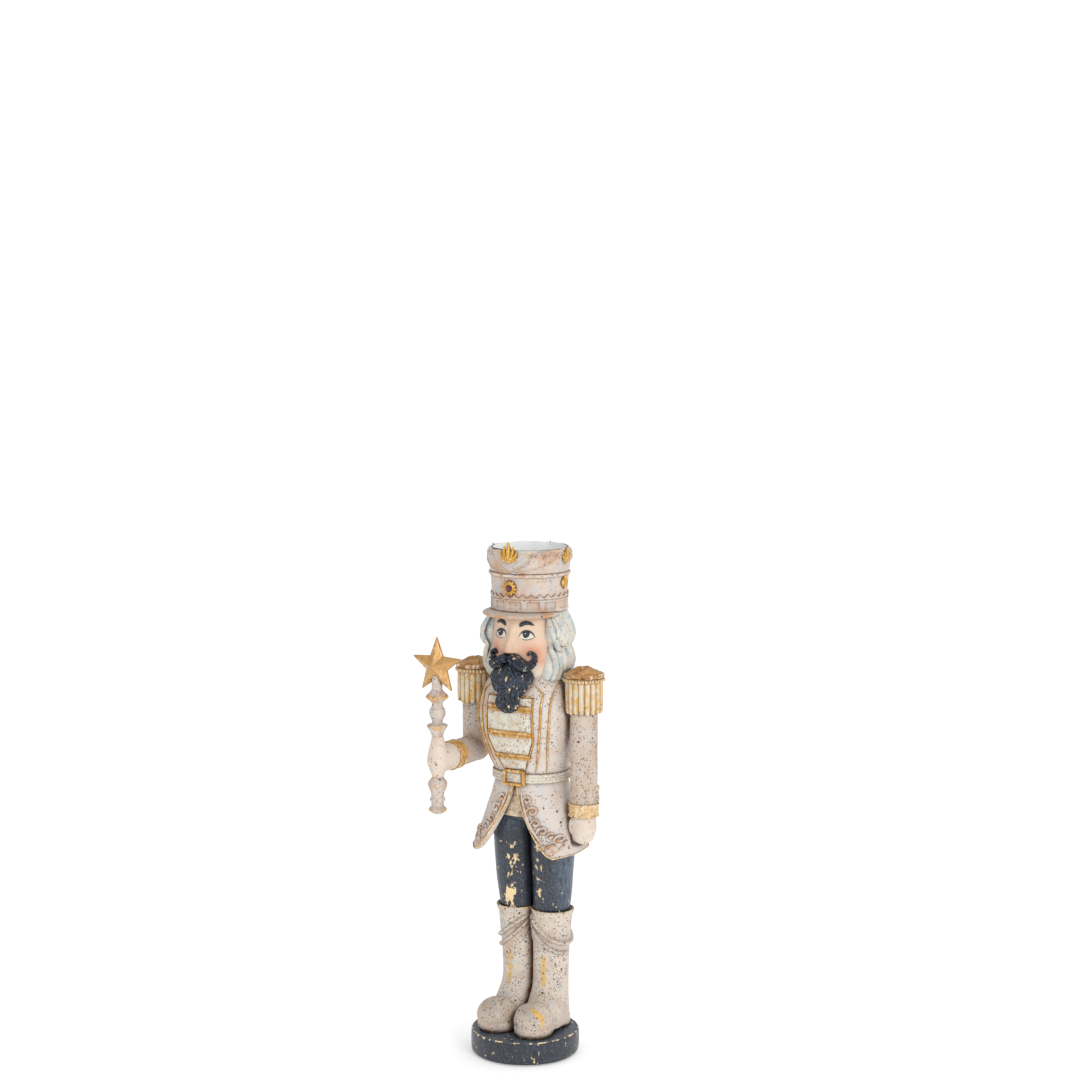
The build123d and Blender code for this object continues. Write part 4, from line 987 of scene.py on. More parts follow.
for side, name in ((1, "left"), (-1, "right")):
    x0 = side * arm_x
    around = TURN[::2]
    swirl_rings = []
    for r, z in cap_profile:
        rise = 0.55 * np.cos(2 * around + 0.62 * r) * np.clip((9.5 - r) / 3, 0, 1) * np.clip(r / 2, 0, 1)
        swirl_rings.append(ring(around, x0, arm_y, z + (rise if z > 244.4 else 0), r, r))
    cap = cast(f"epaulette_cap_{name}", stack(swirl_rings))
    cap_points = corners(cap)
    mark(cap, 0.9 * bump(np.hypot(cap_points[:, 0] - x0, cap_points[:, 1] - arm_y), 12.4, 0.6))
    put(cap, swirl_gold, "gold_paint", f"epaulette_cap_{name}")
    angles = np.linspace(-pi, pi, strands * 18 + 1)[:-1]
    puff = np.abs(np.cos(strands / 2 * angles))
    foot = fringe_low + 1.5 * (1 - puff ** 0.8) + 0.35 * np.sin(5 * angles + side)
    fringe_rings = []
    for t in np.linspace(0, 1, 34):
        z = foot + (fringe_top - foot) * t
        bulge = 10.35 + 1.25 * puff ** 0.6 * (1 - 0.12 * t) + 0.25 * sin(pi * t)
        roll = 0.75 * (1 - min(1, t / 0.06)) ** 2
        fringe_rings.append(ring(angles, x0, arm_y, z, bulge - roll, bulge - roll))
    fringe_rings += [ring(angles, x0, arm_y, fringe_top + 0 * angles, 8.3, 8.3),
                     ring(angles, x0, arm_y, foot + 1.2, 8.3, 8.3), ring(angles, x0, arm_y, foot, 9.0, 9.0)]
    fringe = cast(f"epaulette_fringe_{name}", stack(fringe_rings, joined_ends=True))
    fringe_points = corners(fringe)
    strand_edge = np.abs(np.cos(strands / 2 * np.arctan2(fringe_points[:, 0] - x0,
                                                         arm_y - fringe_points[:, 1])))
    mark(fringe, 0.8 * bump(strand_edge, 0.55, 0.25))
    put(fringe, fringe_paint, "cream_paint", f"epaulette_fringe_{name}")
    beads = together(*[blob((x0 + 12.1 * sin(a), arm_y - 12.1 * cos(a), 240.2), (1.2, 1.2, 1.15), 16)
                       for a in pi / strands * (np.arange(2 * strands) + 0.5)],
                     stack([ring(around, x0, arm_y, z, r, r) for r, z in
                            [(8.5, 240.3), (11.5, 240.4), (12.0, 240.9), (12.0, 241.5), (8.5, 241.8)]], True))
    put(cast(f"epaulette_beads_{name}", beads), edge_gilt, "gold_paint")

# ---- Head and face ----
# The head is cast with a plain toy-soldier face: a straight wedge nose, soft cheeks and shallow eye
# sockets. Eyes and brows are low enamelled patches, the cheeks are rouged and the jaw is left cream.
head_rows = mixed_rows([(231.5, 4.0, 12.8, 11.8), (234, 3.8, 15.2, 14.0), (238, 3.4, 18.5, 17.0),
                        (243, 3.3, 20.6, 18.8), (250, 3.2, 21.8, 19.8), (262, 3.6, 22.2, 20.2),
                        (272, 4.6, 21.8, 19.8), (281.6, 5.4, 21.2, 19.4)], 150)


def face_at(angles, z, lift=0.0):
    """Points on the head, with the modelled nose, sockets, brows and cheeks."""
    y, a, d = sizes_at(head_rows, z)
    x = a * np.sin(angles)
    front = np.clip(np.cos(angles) * 3, 0, 1)
    height = np.interp(z, [255.3, 256.2, 257.2, 258.6, 262, 266, 270, 274, 278],
                       [0, 2.0, 4.3, 5.0, 3.9, 2.7, 1.5, 0.7, 0])
    width = np.interp(z, [255, 257.5, 260, 264, 270, 275], [3.6, 3.4, 2.8, 2.1, 1.8, 2.4])
    nose = 1.12 * height * np.exp(-(np.abs(x) / width) ** 3.2)
    wings = 1.0 * bump(np.abs(x), 3.2, 1.2) * bump(z, 257.8, 1.3)
    sockets = -1.2 * bump(np.abs(x), 7.6, 4.6) * bump(z, 268.8, 3.6)
    brows = 0.5 * bump(np.abs(x), 9.5, 6.0) * bump(z, 274.6, 1.9)
    cheeks = 0.8 * bump(np.abs(x), 11.5, 5.5) * bump(z, 258.5, 5.5)
    total = lift + front * (nose + wings + sockets + brows + cheeks)
    return ring(angles, 0, y, z, a + total * 0.6, d + total)


face_turn = np.concatenate([np.linspace(-pi, -1.5, 60)[:-1], np.linspace(-1.5, 1.5, 330)[:-1],
                            np.linspace(1.5, pi, 60)[:-1]])
head = cast("head", stack([face_at(face_turn, z) for z in np.linspace(232, 281.5, 170)]))
face_paint, tree, face_skin = new_material("face_paint", Roughness=0.5)
face_clouds = placed(tree, CLOUDS, Scale=120.0, Warm=0.35, Cool=0.22)
face_hollow = placed(tree, WASH_AND_SHADE, Reach=0.003, Strength=0.55)["Hollow"]
rouge = node(tree, "ShaderNodeAttribute", attribute_name="rouge").outputs["Fac"]
jaw = node(tree, "ShaderNodeAttribute", attribute_name="jaw").outputs["Fac"]
rouge = sums(tree, "MULTIPLY", rouge, spread(tree, noise(tree, 200, 3), 0.2, 0.7, 0.75, 1.0))
shade = blend(tree, face_clouds["Warm Patch"], colour("e2c6ad"), colour("d9b392"))
shade = blend(tree, jaw, shade, colour("dbd0be"))
shade = blend(tree, rouge, shade, colour("d67f5c"))
shade = blend(tree, face_clouds["Cool Patch"], shade, colour("cfd2cb"))
shade = blend(tree, face_hollow, shade, colour("9a6a4c"))
tree.links.new(shade, face_skin.inputs["Base Color"])
face_relief = sums(tree, "ADD", sums(tree, "MULTIPLY", face_clouds["Streak"], 0.4), noise(tree, 2600, 2))
face_bump = node(tree, "ShaderNodeBump", {"Height": face_relief, "Strength": 0.35, "Distance": 0.00018})
tree.links.new(face_bump.outputs["Normal"], face_skin.inputs["Normal"])
p = corners(head)
cheek = bump(np.abs(p[:, 0]), 12.6, 5.4) * bump(p[:, 2], 257.5, 5.5) * (p[:, 1] < 2)
cheek += 0.55 * bump(np.abs(p[:, 0]), 17.6, 2.6) * bump(p[:, 2], 251.0, 3.4)
tip = 0.35 * bump(p[:, 0], 0, 3.5) * bump(p[:, 2], 258.5, 3.0) * (p[:, 1] < -15)
mark(head, np.clip(0.95 * cheek + tip, 0, 1), "rouge")
mark(head, 1 / (1 + np.exp((p[:, 2] - 248.5) / 1.8)), "jaw")
put(head, face_paint, "skin_paint", "head")


def flat_paint(name, code, rough=0.35):
    """A plain dab of brushed enamel."""
    material, tree, skin = new_material(name, Roughness=rough)
    brushed = spread(tree, noise(tree, 1800, 3), 0.3, 0.7, 0.0, 0.3)
    tree.links.new(blend(tree, brushed, colour(code), colour("6b6f78")), skin.inputs["Base Color"])
    return material


eye_white = flat_paint("eye_white", "efeae0")
iris_blue = flat_paint("eye_iris", "1b2334", 0.25)
pupil_black = flat_paint("eye_pupil", "0b0c10", 0.2)
glint_white = flat_paint("eye_glint", "fbfbf8", 0.3)
lid_brown = flat_paint("eye_line", "1d1717", 0.4)
for side, name in ((1, "left"), (-1, "right")):
    eye_x, eye_z = side * 9.0, 267.4
    a = np.linspace(0, 2 * pi, 40, endpoint=False)
    almond = np.column_stack([eye_x + 4.3 * np.cos(a), eye_z + np.sin(a) * 2.35 * (1 - 0.30 * np.cos(a) ** 2)
                              - side * 0.06 * 4.3 * np.cos(a)])
    put(cast(f"eye_white_{name}", dab(face_at, (eye_x, eye_z), almond, 0.35, 0.4)), eye_white, "skin_paint")
    for part, dx, dz, across, high, rise, look, slot in (
            ("iris", -0.3, 0.75, 2.45, 2.5, 0.55, iris_blue, "navy_paint"),
            ("pupil", -0.3, 0.75, 1.25, 1.3, 0.68, pupil_black, "navy_paint"),
            ("glint", -0.75, 1.25, 0.5, 0.5, 0.78, glint_white, "skin_paint")):
        spot = (eye_x + dx, eye_z + dz)
        patch = cast(f"eye_{part}_{name}", dab(face_at, spot, rounded(spot, across, high), rise, 0.2))
        put(patch, look, slot)
    lid = line_through([(eye_x - side * 4.5, eye_z - 0.5), (eye_x - side * 2.6, eye_z + 2.2),
                        (eye_x, eye_z + 3.0), (eye_x + side * 2.8, eye_z + 2.0),
                        (eye_x + side * 5.0, eye_z - 0.9)], 40)
    under_lid = line_through([(eye_x - side * 2.6, eye_z - 2.0), (eye_x, eye_z - 2.5),
                              (eye_x + side * 3.0, eye_z - 1.8), (eye_x + side * 4.8, eye_z - 0.7)], 30)
    put(cast(f"eye_lid_{name}", together(
        bar(*on_front(face_at, lid), half_round(0.95, 0.45, 0.4), size=taper(40)),
        bar(*on_front(face_at, under_lid), half_round(0.35, 0.3, 0.3), size=taper(30)))), lid_brown,
        "navy_paint")
    brow = line_through([(side * 4.9, 273.2), (side * 7.0, 274.9), (side * 10.0, 275.3),
                         (side * 13.2, 273.9)], 46)
    brow_width = np.interp(np.linspace(0, 1, 46), [0, 0.12, 0.45, 0.8, 1], [1.4, 2.6, 2.6, 1.9, 0.5])
    brow_piece = cast(f"brow_{name}", bar(*on_front(face_at, brow), half_round(1.0, 1.0, 0.5, 14),
                                          size=np.column_stack([brow_width, 0.25 + 0.25 * brow_width])))
    mark(brow_piece, np.full(len(brow_piece.data.vertices), -0.3))
    put(brow_piece, navy, "navy_paint")

# ---- Moustache and beard ----
# A curled moustache and a full spade beard stand out from the face, modelled in strands. They are
# blue-black with blue dragged over the strands and small cream flakes.
beard_paint = paint("beard_paint", base="191c23", warm="26252b", cool="5b7190", wash="090a0e", dot="0c0d10",
                    chip="ecd0a2", scale=520, warm_amount=0.4, cool_amount=0.75, reach=0.0018, strength=0.8,
                    dots=(0.10, 0.16), flakes=(270.0, 0.220, 0.2), rough=0.36)
strand_section = [(-0.5, -0.3)] + [(-0.5 * cos(a), sin(a) ** 0.7 * (1 + 0.10 * cos(8 * a)))
                                   for a in np.linspace(0, pi, 40)] + [(0.5, -0.3)]
half_moustache = line_through([(0.4, 252.6, 4.5, 6.0), (2.6, 253.4, 6.6, 8.6), (5.6, 251.2, 6.8, 9.0),
                               (8.8, 249.2, 6.2, 7.6), (11.8, 249.6, 5.2, 5.6), (13.9, 252.2, 4.0, 3.9),
                               (14.1, 255.4, 3.0, 3.0), (12.6, 257.2, 2.3, 2.4), (11.0, 256.6, 1.7, 1.9),
                               (11.1, 255.4, 1.1, 1.4)], 110)
moustache_forms = []
for side in (1, -1):
    path, ups = on_front(face_at, half_moustache[:, :2] * [side, 1])
    path[:, 1] = np.maximum(path[:, 1], -16.8)
    moustache_forms.append(bar(path, ups, strand_section, size=half_moustache[:, 2:]))
moustache = cast("moustache", together(*moustache_forms))
mark(moustache, np.full(len(moustache.data.vertices), 0.1))
put(moustache, beard_paint, "navy_paint", "moustache")

beard_rows = mixed_rows([(220.4, -21.4, 2.2, 1.6), (222.0, -21.8, 5.6, 3.0), (224.6, -21.7, 7.4, 4.0),
                         (227.0, -21.2, 7.8, 4.6), (230.0, -20.2, 7.4, 5.2), (234.0, -18.6, 10.2, 6.8),
                         (238.0, -16.9, 13.2, 7.8), (241.5, -15.9, 14.4, 8.2), (245.0, -15.2, 12.6, 7.6),
                         (248.0, -14.8, 9.6, 6.6), (250.4, -14.4, 6.0, 5.4)], 150)
beard_rings = []
for z, y, a, d in beard_rows:
    swirl = 11 * TURN + 0.16 * (z - 236) * np.sign(np.sin(TURN)) + 1.1 * np.sin(z / 3.6)
    strand = 0.42 * np.sin(swirl) + 0.22 * np.sin(2.3 * swirl + z / 2.2)
    strand *= np.clip((z - 220.4) / 3, 0.2, 1)
    beard_rings.append(ring(TURN, 0.35 * np.clip((229 - z) / 6, 0, 1), y,
                            z + 0.5 * np.sin(swirl) * (z < 223), a + strand, d + strand))
beard = cast("beard", stack(beard_rings))
p = corners(beard)
mark(beard, 0.1 + 0.22 * bump(p[:, 0], 0, 7) * bump(p[:, 2], 234, 9))
put(beard, beard_paint, "navy_paint", "beard")

# ---- Hair ----
# Shoulder-length hair in waved strands, with a thick roll under the hat, is cast round the head. It is
# greyed white with blue wiped into the grooves.
hair_paint = paint("hair_paint", base="dcd9cd", warm="c3ad90", cool="a9c0d0", wash="76878f", dot="6a4a38",
                   scale=140, warm_amount=0.5, cool_amount=0.85, reach=0.0020, strength=0.9,
                   dots=(0.05, 0.14), grit=0.35)
hair_rows = mixed_rows([(234, 6.0, 21.4, 21.6), (237, 6.3, 23.4, 23.6), (241, 6.7, 25.6, 25.6),
                        (246, 7.0, 28.0, 27.2), (249.5, 7.0, 28.7, 27.4), (254, 6.7, 28.2, 27.2),
                        (258.4, 6.0, 26.9, 26.2), (260.6, 5.6, 27.6, 26.6), (264, 5.3, 29.4, 27.2),
                        (267.5, 5.2, 29.9, 27.2), (271, 5.5, 29.0, 26.6), (276, 6.0, 26.4, 25.2),
                        (281.8, 6.2, 23.2, 22.4)], 160)
head_turn_rows = mixed_rows([(232, 4.0, 12.0, 11.0), (238, 3.4, 17.8, 16.2), (250, 3.2, 21.0, 19.0),
                             (262, 3.6, 21.4, 19.4), (272, 4.6, 21.0, 19.0), (281.8, 5.4, 20.4, 18.6)], 60)
hair_columns = []
for u in np.linspace(0, 1, 560):
    edge = min(u, 1 - u)
    low = 235.0 + 1.7 * abs(sin(19 * pi * u)) ** 0.7 + 0.6 * sin(13 * u)
    low += 2.2 * (1 - min(1, edge / 0.06)) ** 2
    outside, inside = [], []
    for z in low + (281.7 - low) * np.linspace(0, 1, 86):
        y, a, d = sizes_at(hair_rows, z)
        hy, ha, hd = sizes_at(head_turn_rows, z)
        start = radians(np.interp(z, [235, 244, 256, 260, 268, 276, 281.7], [47, 52, 61, 63, 57, 57, 60]))
        angle = start + (2 * pi - 2 * start) * u
        full = np.sqrt(1 - (1 - min(1, edge / 0.045)) ** 2)
        wave = 38 * angle + 1.5 * sin(z / 4.6 + 2 * angle) + 1.0 * sin(z / 2.3 + 5 * angle)
        groove = 0.75 * (0.5 + 0.5 * sin(wave)) ** 1.6 + 0.34 * (0.5 + 0.5 * sin(2.37 * wave + 1.1))
        groove += 0.8 * bump(z, 259.3, 0.9) * (0.6 + 0.4 * sin(7 * angle))
        tips = 1.4 * (1 - min(1, (z - low) / 2.4)) ** 2
        over = (a - ha - groove - tips) * full
        deep = (d - hd - groove - tips) * full
        shift = y * full + hy * (1 - full)
        outside.append((sin(angle) * (ha + over), shift - cos(angle) * (hd + deep), z))
        inside.append((sin(angle) * (ha - 0.8), hy - cos(angle) * (hd - 0.8), z))
    hair_columns.append(outside + inside[::-1])
hair = cast("hair", stack(hair_columns))
put(hair, hair_paint, "hair_paint", "hair")
lock_lines = [
    [(63, 266.0, 2.6, 2.2), (66, 262.6, 3.6, 2.8), (71, 259.6, 3.6, 2.6), (78, 258.4, 2.8, 1.8),
     (85, 259.6, 1.4, 1.0)],
    [(59, 262.0, 1.4, 1.0), (61, 257.5, 3.0, 1.8), (63, 250.0, 3.4, 2.2), (64, 243.0, 3.0, 2.0),
     (62, 237.5, 1.2, 0.8)],
    [(58, 280.0, 1.6, 0.8), (57, 274.0, 3.0, 1.8), (59, 268.0, 3.0, 2.0), (63, 263.5, 1.6, 1.2)],
]


def hair_at(angles, z, lift=0.0):
    """Points on the outside of the hair, without its strands."""
    y, a, d = sizes_at(hair_rows, z)
    return ring(angles, 0, y, z, a - 1.0 + lift, d - 1.0 + lift)


locks = []
for side in (1, -1):
    for points in lock_lines:
        line = line_through(np.array(points) * [side, 1, 1, 1], 50)
        path, ups = round_it(hair_at, line[:, :2])
        locks.append(bar(path, ups, strand_section, size=line[:, 2:]))
put(cast("hair_locks", together(*locks)), hair_paint, "hair_paint")

# ---- Hat ----
# The tall hat is cast round a steel pin and widens to an open top. It has a panelled band, a scalloped
# trim, a cord rubbed with gold and cloth drawn up in folds to four gold ornaments; the inside is plain white
# and made to glow faintly, a painted light.
hat_y = 6.2
hat_paint = paint("hat_paint", base="d0c2b5", warm="c0936d", cool="b3bec4", wash="75482f", dot="5a3826",
                  scale=75, warm_amount=0.9, cool_amount=0.75, reach=0.0032, strength=1.0, dots=(0.04, 0.16),
                  chip="cf9d70", flakes=(330.0, 0.06, 0.36))
hat_side = worn([(22.8, 281.6), (22.9, 283.5), (24.3, 304.3), (25.6, 318.6), (25.5, 319.6)], 0.5, 2)


def hat_at(angles, z, lift=0.0):
    """Points on the outside of the hat."""
    r = np.interp(z, hat_side[:, 1], hat_side[:, 0])
    return ring(angles, 0, hat_y, z, r + lift, r + lift)


hat_turn = np.linspace(-pi, pi, 721)[:-1]
rim_wave = 0.35 * np.sin(5 * hat_turn + 0.8) + 0.22 * np.sin(13 * hat_turn)
hat_rings = [ring(hat_turn, 0, hat_y, z, r, r) for r, z in [(3.0, 281.7), (22.4, 281.7)]]
hat_rings += [hat_at(hat_turn, z) for z in np.linspace(282, 319.4, 90)]
hat_rings += [ring(hat_turn, 0, hat_y, z + rim_wave, r, r) for r, z in
              [(25.45, 319.6), (25.35, 320.0), (25.1, 320.2), (24.8, 320.15), (24.55, 319.8)]]
hat_rings += [ring(hat_turn, 0, hat_y, z, r, r) for r, z in
              [(24.4, 319.2), (23.4, 316.6), (22.3, 314.0), (22.2, 312.0), (22.2, 299.4), (21.8, 299.0),
               (2.0, 299.0)]]
hat = cast("hat_body", stack(hat_rings))
put(hat, hat_paint, "greige_paint", "hat_body")
# The white lining is given a faint glow, a painted light, so that the hollow reads bright.
glowing_lining, lining_tree, lining_skin = new_material("glowing_white_lining", Roughness=0.5,
                                                Emission_Color=(1.0, 1.0, 1.0, 1.0), Emission_Strength=0.14)
lining_tree.links.new(blend(lining_tree, noise(lining_tree, 300, 3), colour("f4f3f1"), colour("fbfaf8")),
                      lining_skin.inputs["Base Color"])
hat.data.materials.append(glowing_lining)
for face in hat.data.polygons:
    middle = face.center / MM
    wall = np.interp(middle.z, hat_side[:, 1], hat_side[:, 0])
    if middle.z > 298.5 and np.hypot(middle.x, middle.y - hat_y) < wall - 0.55:
        face.material_index = 1

window_turn = (np.degrees(hat_turn) - 7.0) / (360 / 13)
window = np.abs(window_turn - np.round(window_turn)) * (360 / 13)
window_dent = 1.0 / (1 + np.exp((window - 9.8) / 0.25))
band_rings = [hat_at(hat_turn, z, lift) for z, lift in [(281.6, -0.8), (281.6, 0.9), (281.9, 1.25)]]
for z in np.linspace(282.2, 289.2, 34):
    within = 1 / (1 + np.exp(-(z - 283.5) / 0.12)) / (1 + np.exp((z - 288.1) / 0.12))
    r = 24.15 - window_dent * within
    band_rings.append(ring(hat_turn, 0, hat_y, z, r, r))
band_rings += [ring(hat_turn, 0, hat_y, z, r, r) for r, z in [(23.9, 289.5), (23.2, 289.6), (22.4, 289.5)]]
put(cast("hat_band", stack(band_rings, joined_ends=True)), hat_paint, "greige_paint", "hat_band")

scallop = np.abs(np.cos(14 * hat_turn)) ** 0.8
scallop_top = 293.1 - 2.2 * scallop
scallop_rings = [ring(hat_turn, 0, hat_y, 289.3, 22.4, 22.4), ring(hat_turn, 0, hat_y, 289.3, 23.8, 23.8)]
for t, r in ((0.3, 23.85), (0.6, 23.95), (0.8, 24.25), (0.92, 24.35), (1.0, 24.15), (1.04, 23.8)):
    scallop_rings.append(ring(hat_turn, 0, hat_y, 289.3 + (scallop_top - 289.3) * t, r, r))
scallop_rings.append(ring(hat_turn, 0, hat_y, scallop_top, 22.6, 22.6))
scallops = cast("hat_scallop_trim", stack(scallop_rings, joined_ends=True))
put(scallops, hat_paint, "gold_paint", "hat_scallop_trim")

cord_rings = [(303.3, -1.0), (303.3, 0.4), (303.5, 0.9), (304.0, 1.2), (304.6, 1.2), (305.1, 0.9),
              (305.4, 0.4), (305.4, -1.0)]
cord = cast("hat_cord", band(hat_at, cord_rings, hat_turn))
put(cord, relief_gilt, "gold_paint", "hat_cord")

fold = np.abs((np.degrees(hat_turn) + 90) % 180 - 90)
line_a = np.interp(fold, [2, 15, 27, 36.5], [305.6, 308.6, 311.4, 317.6])
line_b = np.interp(fold, [6, 41, 60, 77], [305.2, 309.4, 313.0, 317.0])
turn_step = 0.218       # millimetres along the hat's side between two neighbours of hat_turn
slope_a, slope_b = (np.hypot(1, np.gradient(line, turn_step)) for line in (line_a, line_b))
drape_rings = [hat_at(hat_turn, 305.3, -1.0)]
for z in np.linspace(305.3, 319.0, 60):
    to_a, to_b = (z - line_a) / slope_a, (z - line_b) / slope_b
    ridge = (0.95 * bump(to_a, 0, 0.55) * (fold < 38) * (fold > 2)
             + 0.95 * bump(to_b, 0, 0.55) * (fold < 79) * (fold > 5))
    between = 0.45 / (1 + np.exp(to_a * 3)) / (1 + np.exp(-to_b * 3)) * (fold > 5)
    pleat = 0.22 * np.sin((line_a - z) * 1.7 + fold / 9) / (1 + np.exp(-to_a * 2))
    crumbs = np.sin(fold * 1.1 + 2 * np.sin(fold * 0.37)) * np.sin(z * 2.3 + 1.7 * np.sin(fold * 0.53))
    crumbs = 0.55 * crumbs * bump(z, 317.4, 1.8) * (fold > 30) * (fold < 80)
    edge = min(1, (z - 305.3) / 0.7, (319.0 - z) / 1.2)
    drape_rings.append(hat_at(hat_turn, z, -0.25 + (0.55 + ridge + between + pleat + crumbs) * max(edge, 0)))
drape_rings.append(hat_at(hat_turn, 319.0, -1.0))
drape = cast("hat_drape", stack(drape_rings, joined_ends=True))
p = corners(drape)
out_by = np.hypot(p[:, 0], p[:, 1] - hat_y) - np.interp(p[:, 2], hat_side[:, 1], hat_side[:, 0])
mark(drape, np.clip((out_by - 0.75) / 0.5, 0, 1) * 0.8)
put(drape, hat_paint, "greige_paint", "hat_drape")

visor_turn = np.radians(np.linspace(-92, 92, 150))
visor_loops = []
for a in visor_turn:
    end = min(1, (radians(92) - abs(a)) / 0.22) ** 0.5
    inner = np.array([21.6 * sin(a), hat_y - 21.6 * cos(a)])
    outer = np.array([24.9 * sin(a), -1.6 - 26.2 * cos(a)])
    section = [(0.0, 281.9), (0.3, 281.8), (0.6, 281.5), (0.85, 281.1), (0.95, 280.9), (1.0, 280.3),
               (0.99, 279.7), (0.94, 279.3), (0.8, 279.3), (0.5, 279.5), (0.0, 279.7)]
    visor_loops.append([(*(inner + (outer - inner) * s * (0.35 + 0.65 * end)),
                         280.6 + (z - 280.6) * (0.4 + 0.6 * end))
                        for s, z in section])
visor = cast("hat_visor", stack(visor_loops))
p = corners(visor)
mark(visor, bump(np.hypot(p[:, 0] / 24.9, (p[:, 1] + 1.6) / 26.2), 1.0, 0.035))
put(visor, hat_paint, "greige_paint", "hat_visor")

# ---- Hat ornaments ----
# Four gold lotus crests rise over the rim, a red glass stone sits in a gold flower at the front, and small
# gold drops hang on the other three sides.
bright_gold = paint("bright_gold_paint", base="d6a23f", warm="a0661f", cool="eed694", wash="6a3d10",
                    dot="4a2b10", chip="f6ebca", scale=420, warm_amount=0.6, cool_amount=0.9, reach=0.0014,
                    strength=0.85, dots=(0.05, 0.1), flakes=(520.0, 0.18, 0.2), rough=0.34, metal=0.3)


def petal(surface, turn, points, width, height):
    """A leaf-shaped petal along (millimetres across, height) points, at a turn round the hat."""
    line = line_through(points, 26)
    swell = np.sin(np.linspace(0.12, 1, 26) ** 0.75 * pi * 0.97) ** 0.8
    path, ups = round_it(surface, np.column_stack([degrees_at(line[:, 0]) + turn, line[:, 1]]), 0.7)
    section = [(-0.5, -0.5), (-0.5, 0.25), (-0.3, 0.75), (0, 1.0), (0.3, 0.75), (0.5, 0.25), (0.5, -0.5)]
    return bar(path, ups, section, size=np.column_stack([width * swell + 0.1,
                                                         height * (0.35 + 0.65 * swell)]))


def degrees_at(across, radius=26.2):
    """The angle round the hat for a distance along its side."""
    return np.degrees(np.asarray(across) / radius)


def studs(turn, spots):
    """Small domes on the hat at (across, height, radius) spots."""
    forms = []
    for x, z, r in spots:
        point, out = out_at(hat_at, radians(turn + float(degrees_at(x))), z)
        forms.append(blob(point + out * 0.6, (r, r, r), 20))
    return forms


crest_petals = [([(0, 1.0), (0.1, 6.0), (0, 11.8)], 3.3, 1.7),
                ([(0.8, 1.4), (2.7, 5.0), (3.1, 9.4)], 2.5, 1.5),
                ([(1.0, 1.0), (4.2, 3.2), (5.8, 6.6)], 2.4, 1.4),
                ([(0.8, 0.6), (3.6, 1.0), (5.9, 2.6)], 2.0, 1.2)]
crest_forms = []
for turn, foot, size in ((0, 313.4, 1.0), (90, 312.4, 0.72), (180, 312.4, 0.72), (-90, 312.4, 0.72)):
    for points, width, height in crest_petals:
        for flip in ((1, -1) if points[-1][0] else (1,)):
            line = [(flip * x * size, foot + z * size) for x, z in points]
            crest_forms.append(petal(hat_at, turn, line, width * size, height * size))
    crest_forms += studs(turn, [(0, foot + 0.2, 1.7 * size)])
put(cast("hat_crests", together(*crest_forms)), bright_gold, "gold_paint", "hat_crests")

gem_z = 296.9
gem_point = out_at(hat_at, 0.0, gem_z)[0]
flower = [petal(hat_at, 0, [(r * sin(a), gem_z + r * cos(a)) for r in (1.6, 3.2, 4.8)], 2.6, 1.3)
          for a in 2 * pi * np.arange(11) / 11]
bezel_turn = np.linspace(0, 2 * pi, 61)[:-1]
bezel = [(gem_point[0] + 2.7 * sin(a), gem_point[1] - 1.3, gem_z + 2.7 * cos(a)) for a in bezel_turn]
flower.append(bar(bezel, [(0, -1, 0)] * 60, half_round(1.1, 0.9, 1.6), joined_ends=True))
put(cast("gem_setting", together(*flower)), bright_gold, "gold_paint", "gem_setting")
stone_glass, stone_tree, stone_skin = new_material("red_glass_stone", Roughness=0.08, Coat_Weight=0.6)
stone_cloud = spread(stone_tree, noise(stone_tree, 420, 2), 0.3, 0.7)
stone_tree.links.new(blend(stone_tree, stone_cloud, colour("3a0a22"), colour("7c1f3d")),
                     stone_skin.inputs["Base Color"])
stone_rings = []
for r, out, shift in ((2.5, 0.6, 0), (2.5, 1.5, 0), (1.9, 2.2, 0.5), (1.1, 2.7, 0), (0.3, 2.75, 0.5)):
    turn = 2 * pi * (np.arange(8) + shift) / 8
    stone_rings.append(np.stack([gem_point[0] + r * np.sin(turn), gem_point[1] - out + 0 * turn,
                                 gem_z + r * np.cos(turn)], 1))
stone = cast("gem", stack(stone_rings))
stone.data.shade_flat()
put(stone, stone_glass, "red_stone", "gem")

drop_forms = []
for turn in (90, 180, -90):
    drop_forms += [petal(hat_at, turn, [(0, 303.6), (0.1, 300.4), (0, 295.2)], 2.6, 1.5),
                   petal(hat_at, turn, [(0.3, 301.6), (2.4, 299.8), (2.2, 296.8)], 2.1, 1.3),
                   petal(hat_at, turn, [(-0.3, 301.6), (-2.4, 299.8), (-2.2, 296.8)], 2.1, 1.3),
                   *studs(turn, [(0, 302.6, 1.2)])]
put(cast("hat_drops", together(*drop_forms)), bright_gold, "gold_paint", "hat_drops")

# ---- Tea-light glass ----
# A clear blown glass cup with a flared lip drops loose into the open hat and lifts straight out.
cup_profile = [(0.3, 299.1), (20.2, 299.1), (21.4, 299.5), (21.9, 300.6), (21.9, 312.0), (22.0, 313.8),
               (23.0, 316.6), (24.0, 319.2), (24.2, 320.0), (24.0, 320.4), (23.4, 320.45), (22.9, 320.0),
               (22.2, 318.0), (20.9, 314.6), (20.4, 312.4), (20.4, 302.4), (19.8, 301.2), (18.6, 301.0),
               (0.3, 301.0)]
cup = cast("tealight_cup", turned(worn(cup_profile, 0.3, 2), 0, hat_y, TURN[::2]))
clear = new_material("clear_glass", Base_Color=(0.98, 0.99, 0.985, 1.0), Transmission_Weight=1.0,
                     Roughness=0.02, IOR=1.3)[0]
put(cup, clear, "clear_glass", "tealight_cup", body="cup")

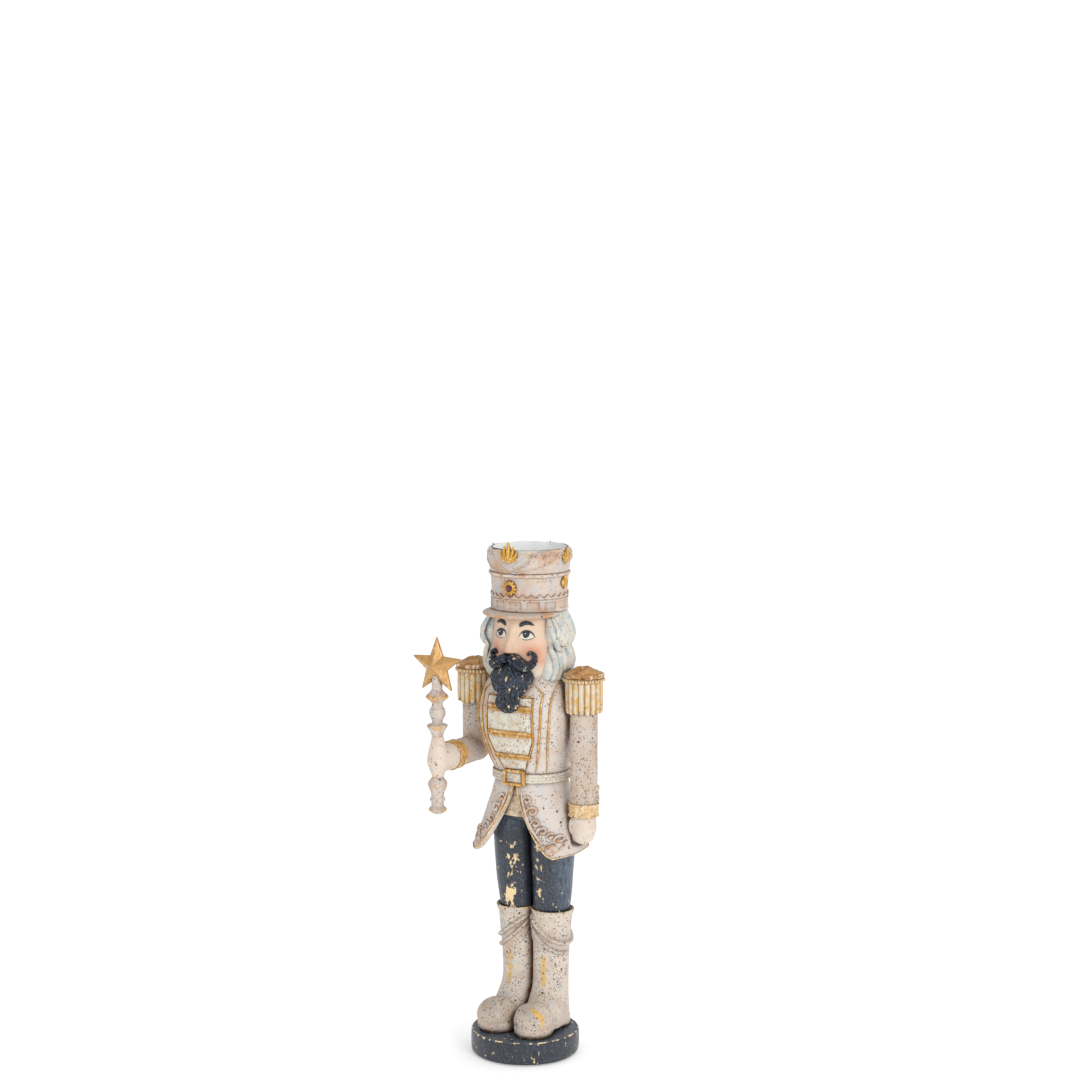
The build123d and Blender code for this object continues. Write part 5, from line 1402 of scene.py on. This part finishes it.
# ---- Studio ----
# A plain white floor and backdrop, a large soft key light from the right, a weak fill and a top light.
floor_mesh = bpy.data.meshes.new("floor")
floor_mesh.from_pydata([(-9, -9, 0), (9, -9, 0), (9, 9, 0), (-9, 9, 0)], [], [(0, 1, 2, 3)])
floor = bpy.data.objects.new("floor", floor_mesh)
bpy.context.scene.collection.objects.link(floor)
white, white_tree, white_skin = new_material("studio_white", Base_Color=(0.9, 0.9, 0.9, 1.0), Roughness=0.9,
                                             Emission_Color=(1.0, 1.0, 1.0, 1.0))
from_figure = node(white_tree, "ShaderNodeVectorMath",
                   {0: node(white_tree, "ShaderNodeTexCoord").outputs["Object"]}, operation="LENGTH")
white_tree.links.new(spread(white_tree, from_figure.outputs["Value"], 0.25, 1.6, 0.34, 0.50),
                     white_skin.inputs["Emission Strength"])
floor_mesh.materials.append(white)

world = bpy.data.worlds.new("studio")
bpy.context.scene.world = world
world.use_nodes = True
backdrop = world.node_tree.nodes["Background"]
backdrop.inputs["Color"].default_value = (1.0, 1.0, 1.0, 1.0)
seen = node(world.node_tree, "ShaderNodeLightPath").outputs["Is Camera Ray"]
world.node_tree.links.new(spread(world.node_tree, seen, 0, 1, 0.60, 1.02), backdrop.inputs["Strength"])


def lamp(name, place, aim, size, power, tint=(1, 1, 1)):
    """A soft square studio light aimed at a point, in metres and watts."""
    light = bpy.data.lights.new(name, "AREA")
    light.shape, light.size, light.energy, light.color = "SQUARE", size, power, tint
    made = bpy.data.objects.new(name, light)
    made.location = place
    made.rotation_euler = (Vector(aim) - Vector(place)).to_track_quat("-Z", "Y").to_euler()
    bpy.context.scene.collection.objects.link(made)


lamp("key", (1.5, -0.95, 0.9), (0, 0, 0.18), 0.7, 12.6, (1.0, 0.985, 0.97))
lamp("fill", (-0.8, -1.6, 0.8), (0, 0, 0.16), 1.0, 3.0, (0.94, 0.97, 1.0))
lamp("top", (0.1, 0.3, 1.6), (0, 0, 0.2), 0.9, 4)

camera_data = bpy.data.cameras.new("camera")
camera_data.lens, camera_data.sensor_width, camera_data.clip_start = 78.77, 36.0, 0.01
camera = bpy.data.objects.new("camera", camera_data)
camera.location = (0.7232, -1.2527, 0.4980)
camera.rotation_euler = (radians(90 - 6.8366), 0, radians(30 - 0.3758))
bpy.context.scene.collection.objects.link(camera)
bpy.context.scene.camera = camera
bpy.context.scene.view_settings.view_transform = "Standard"
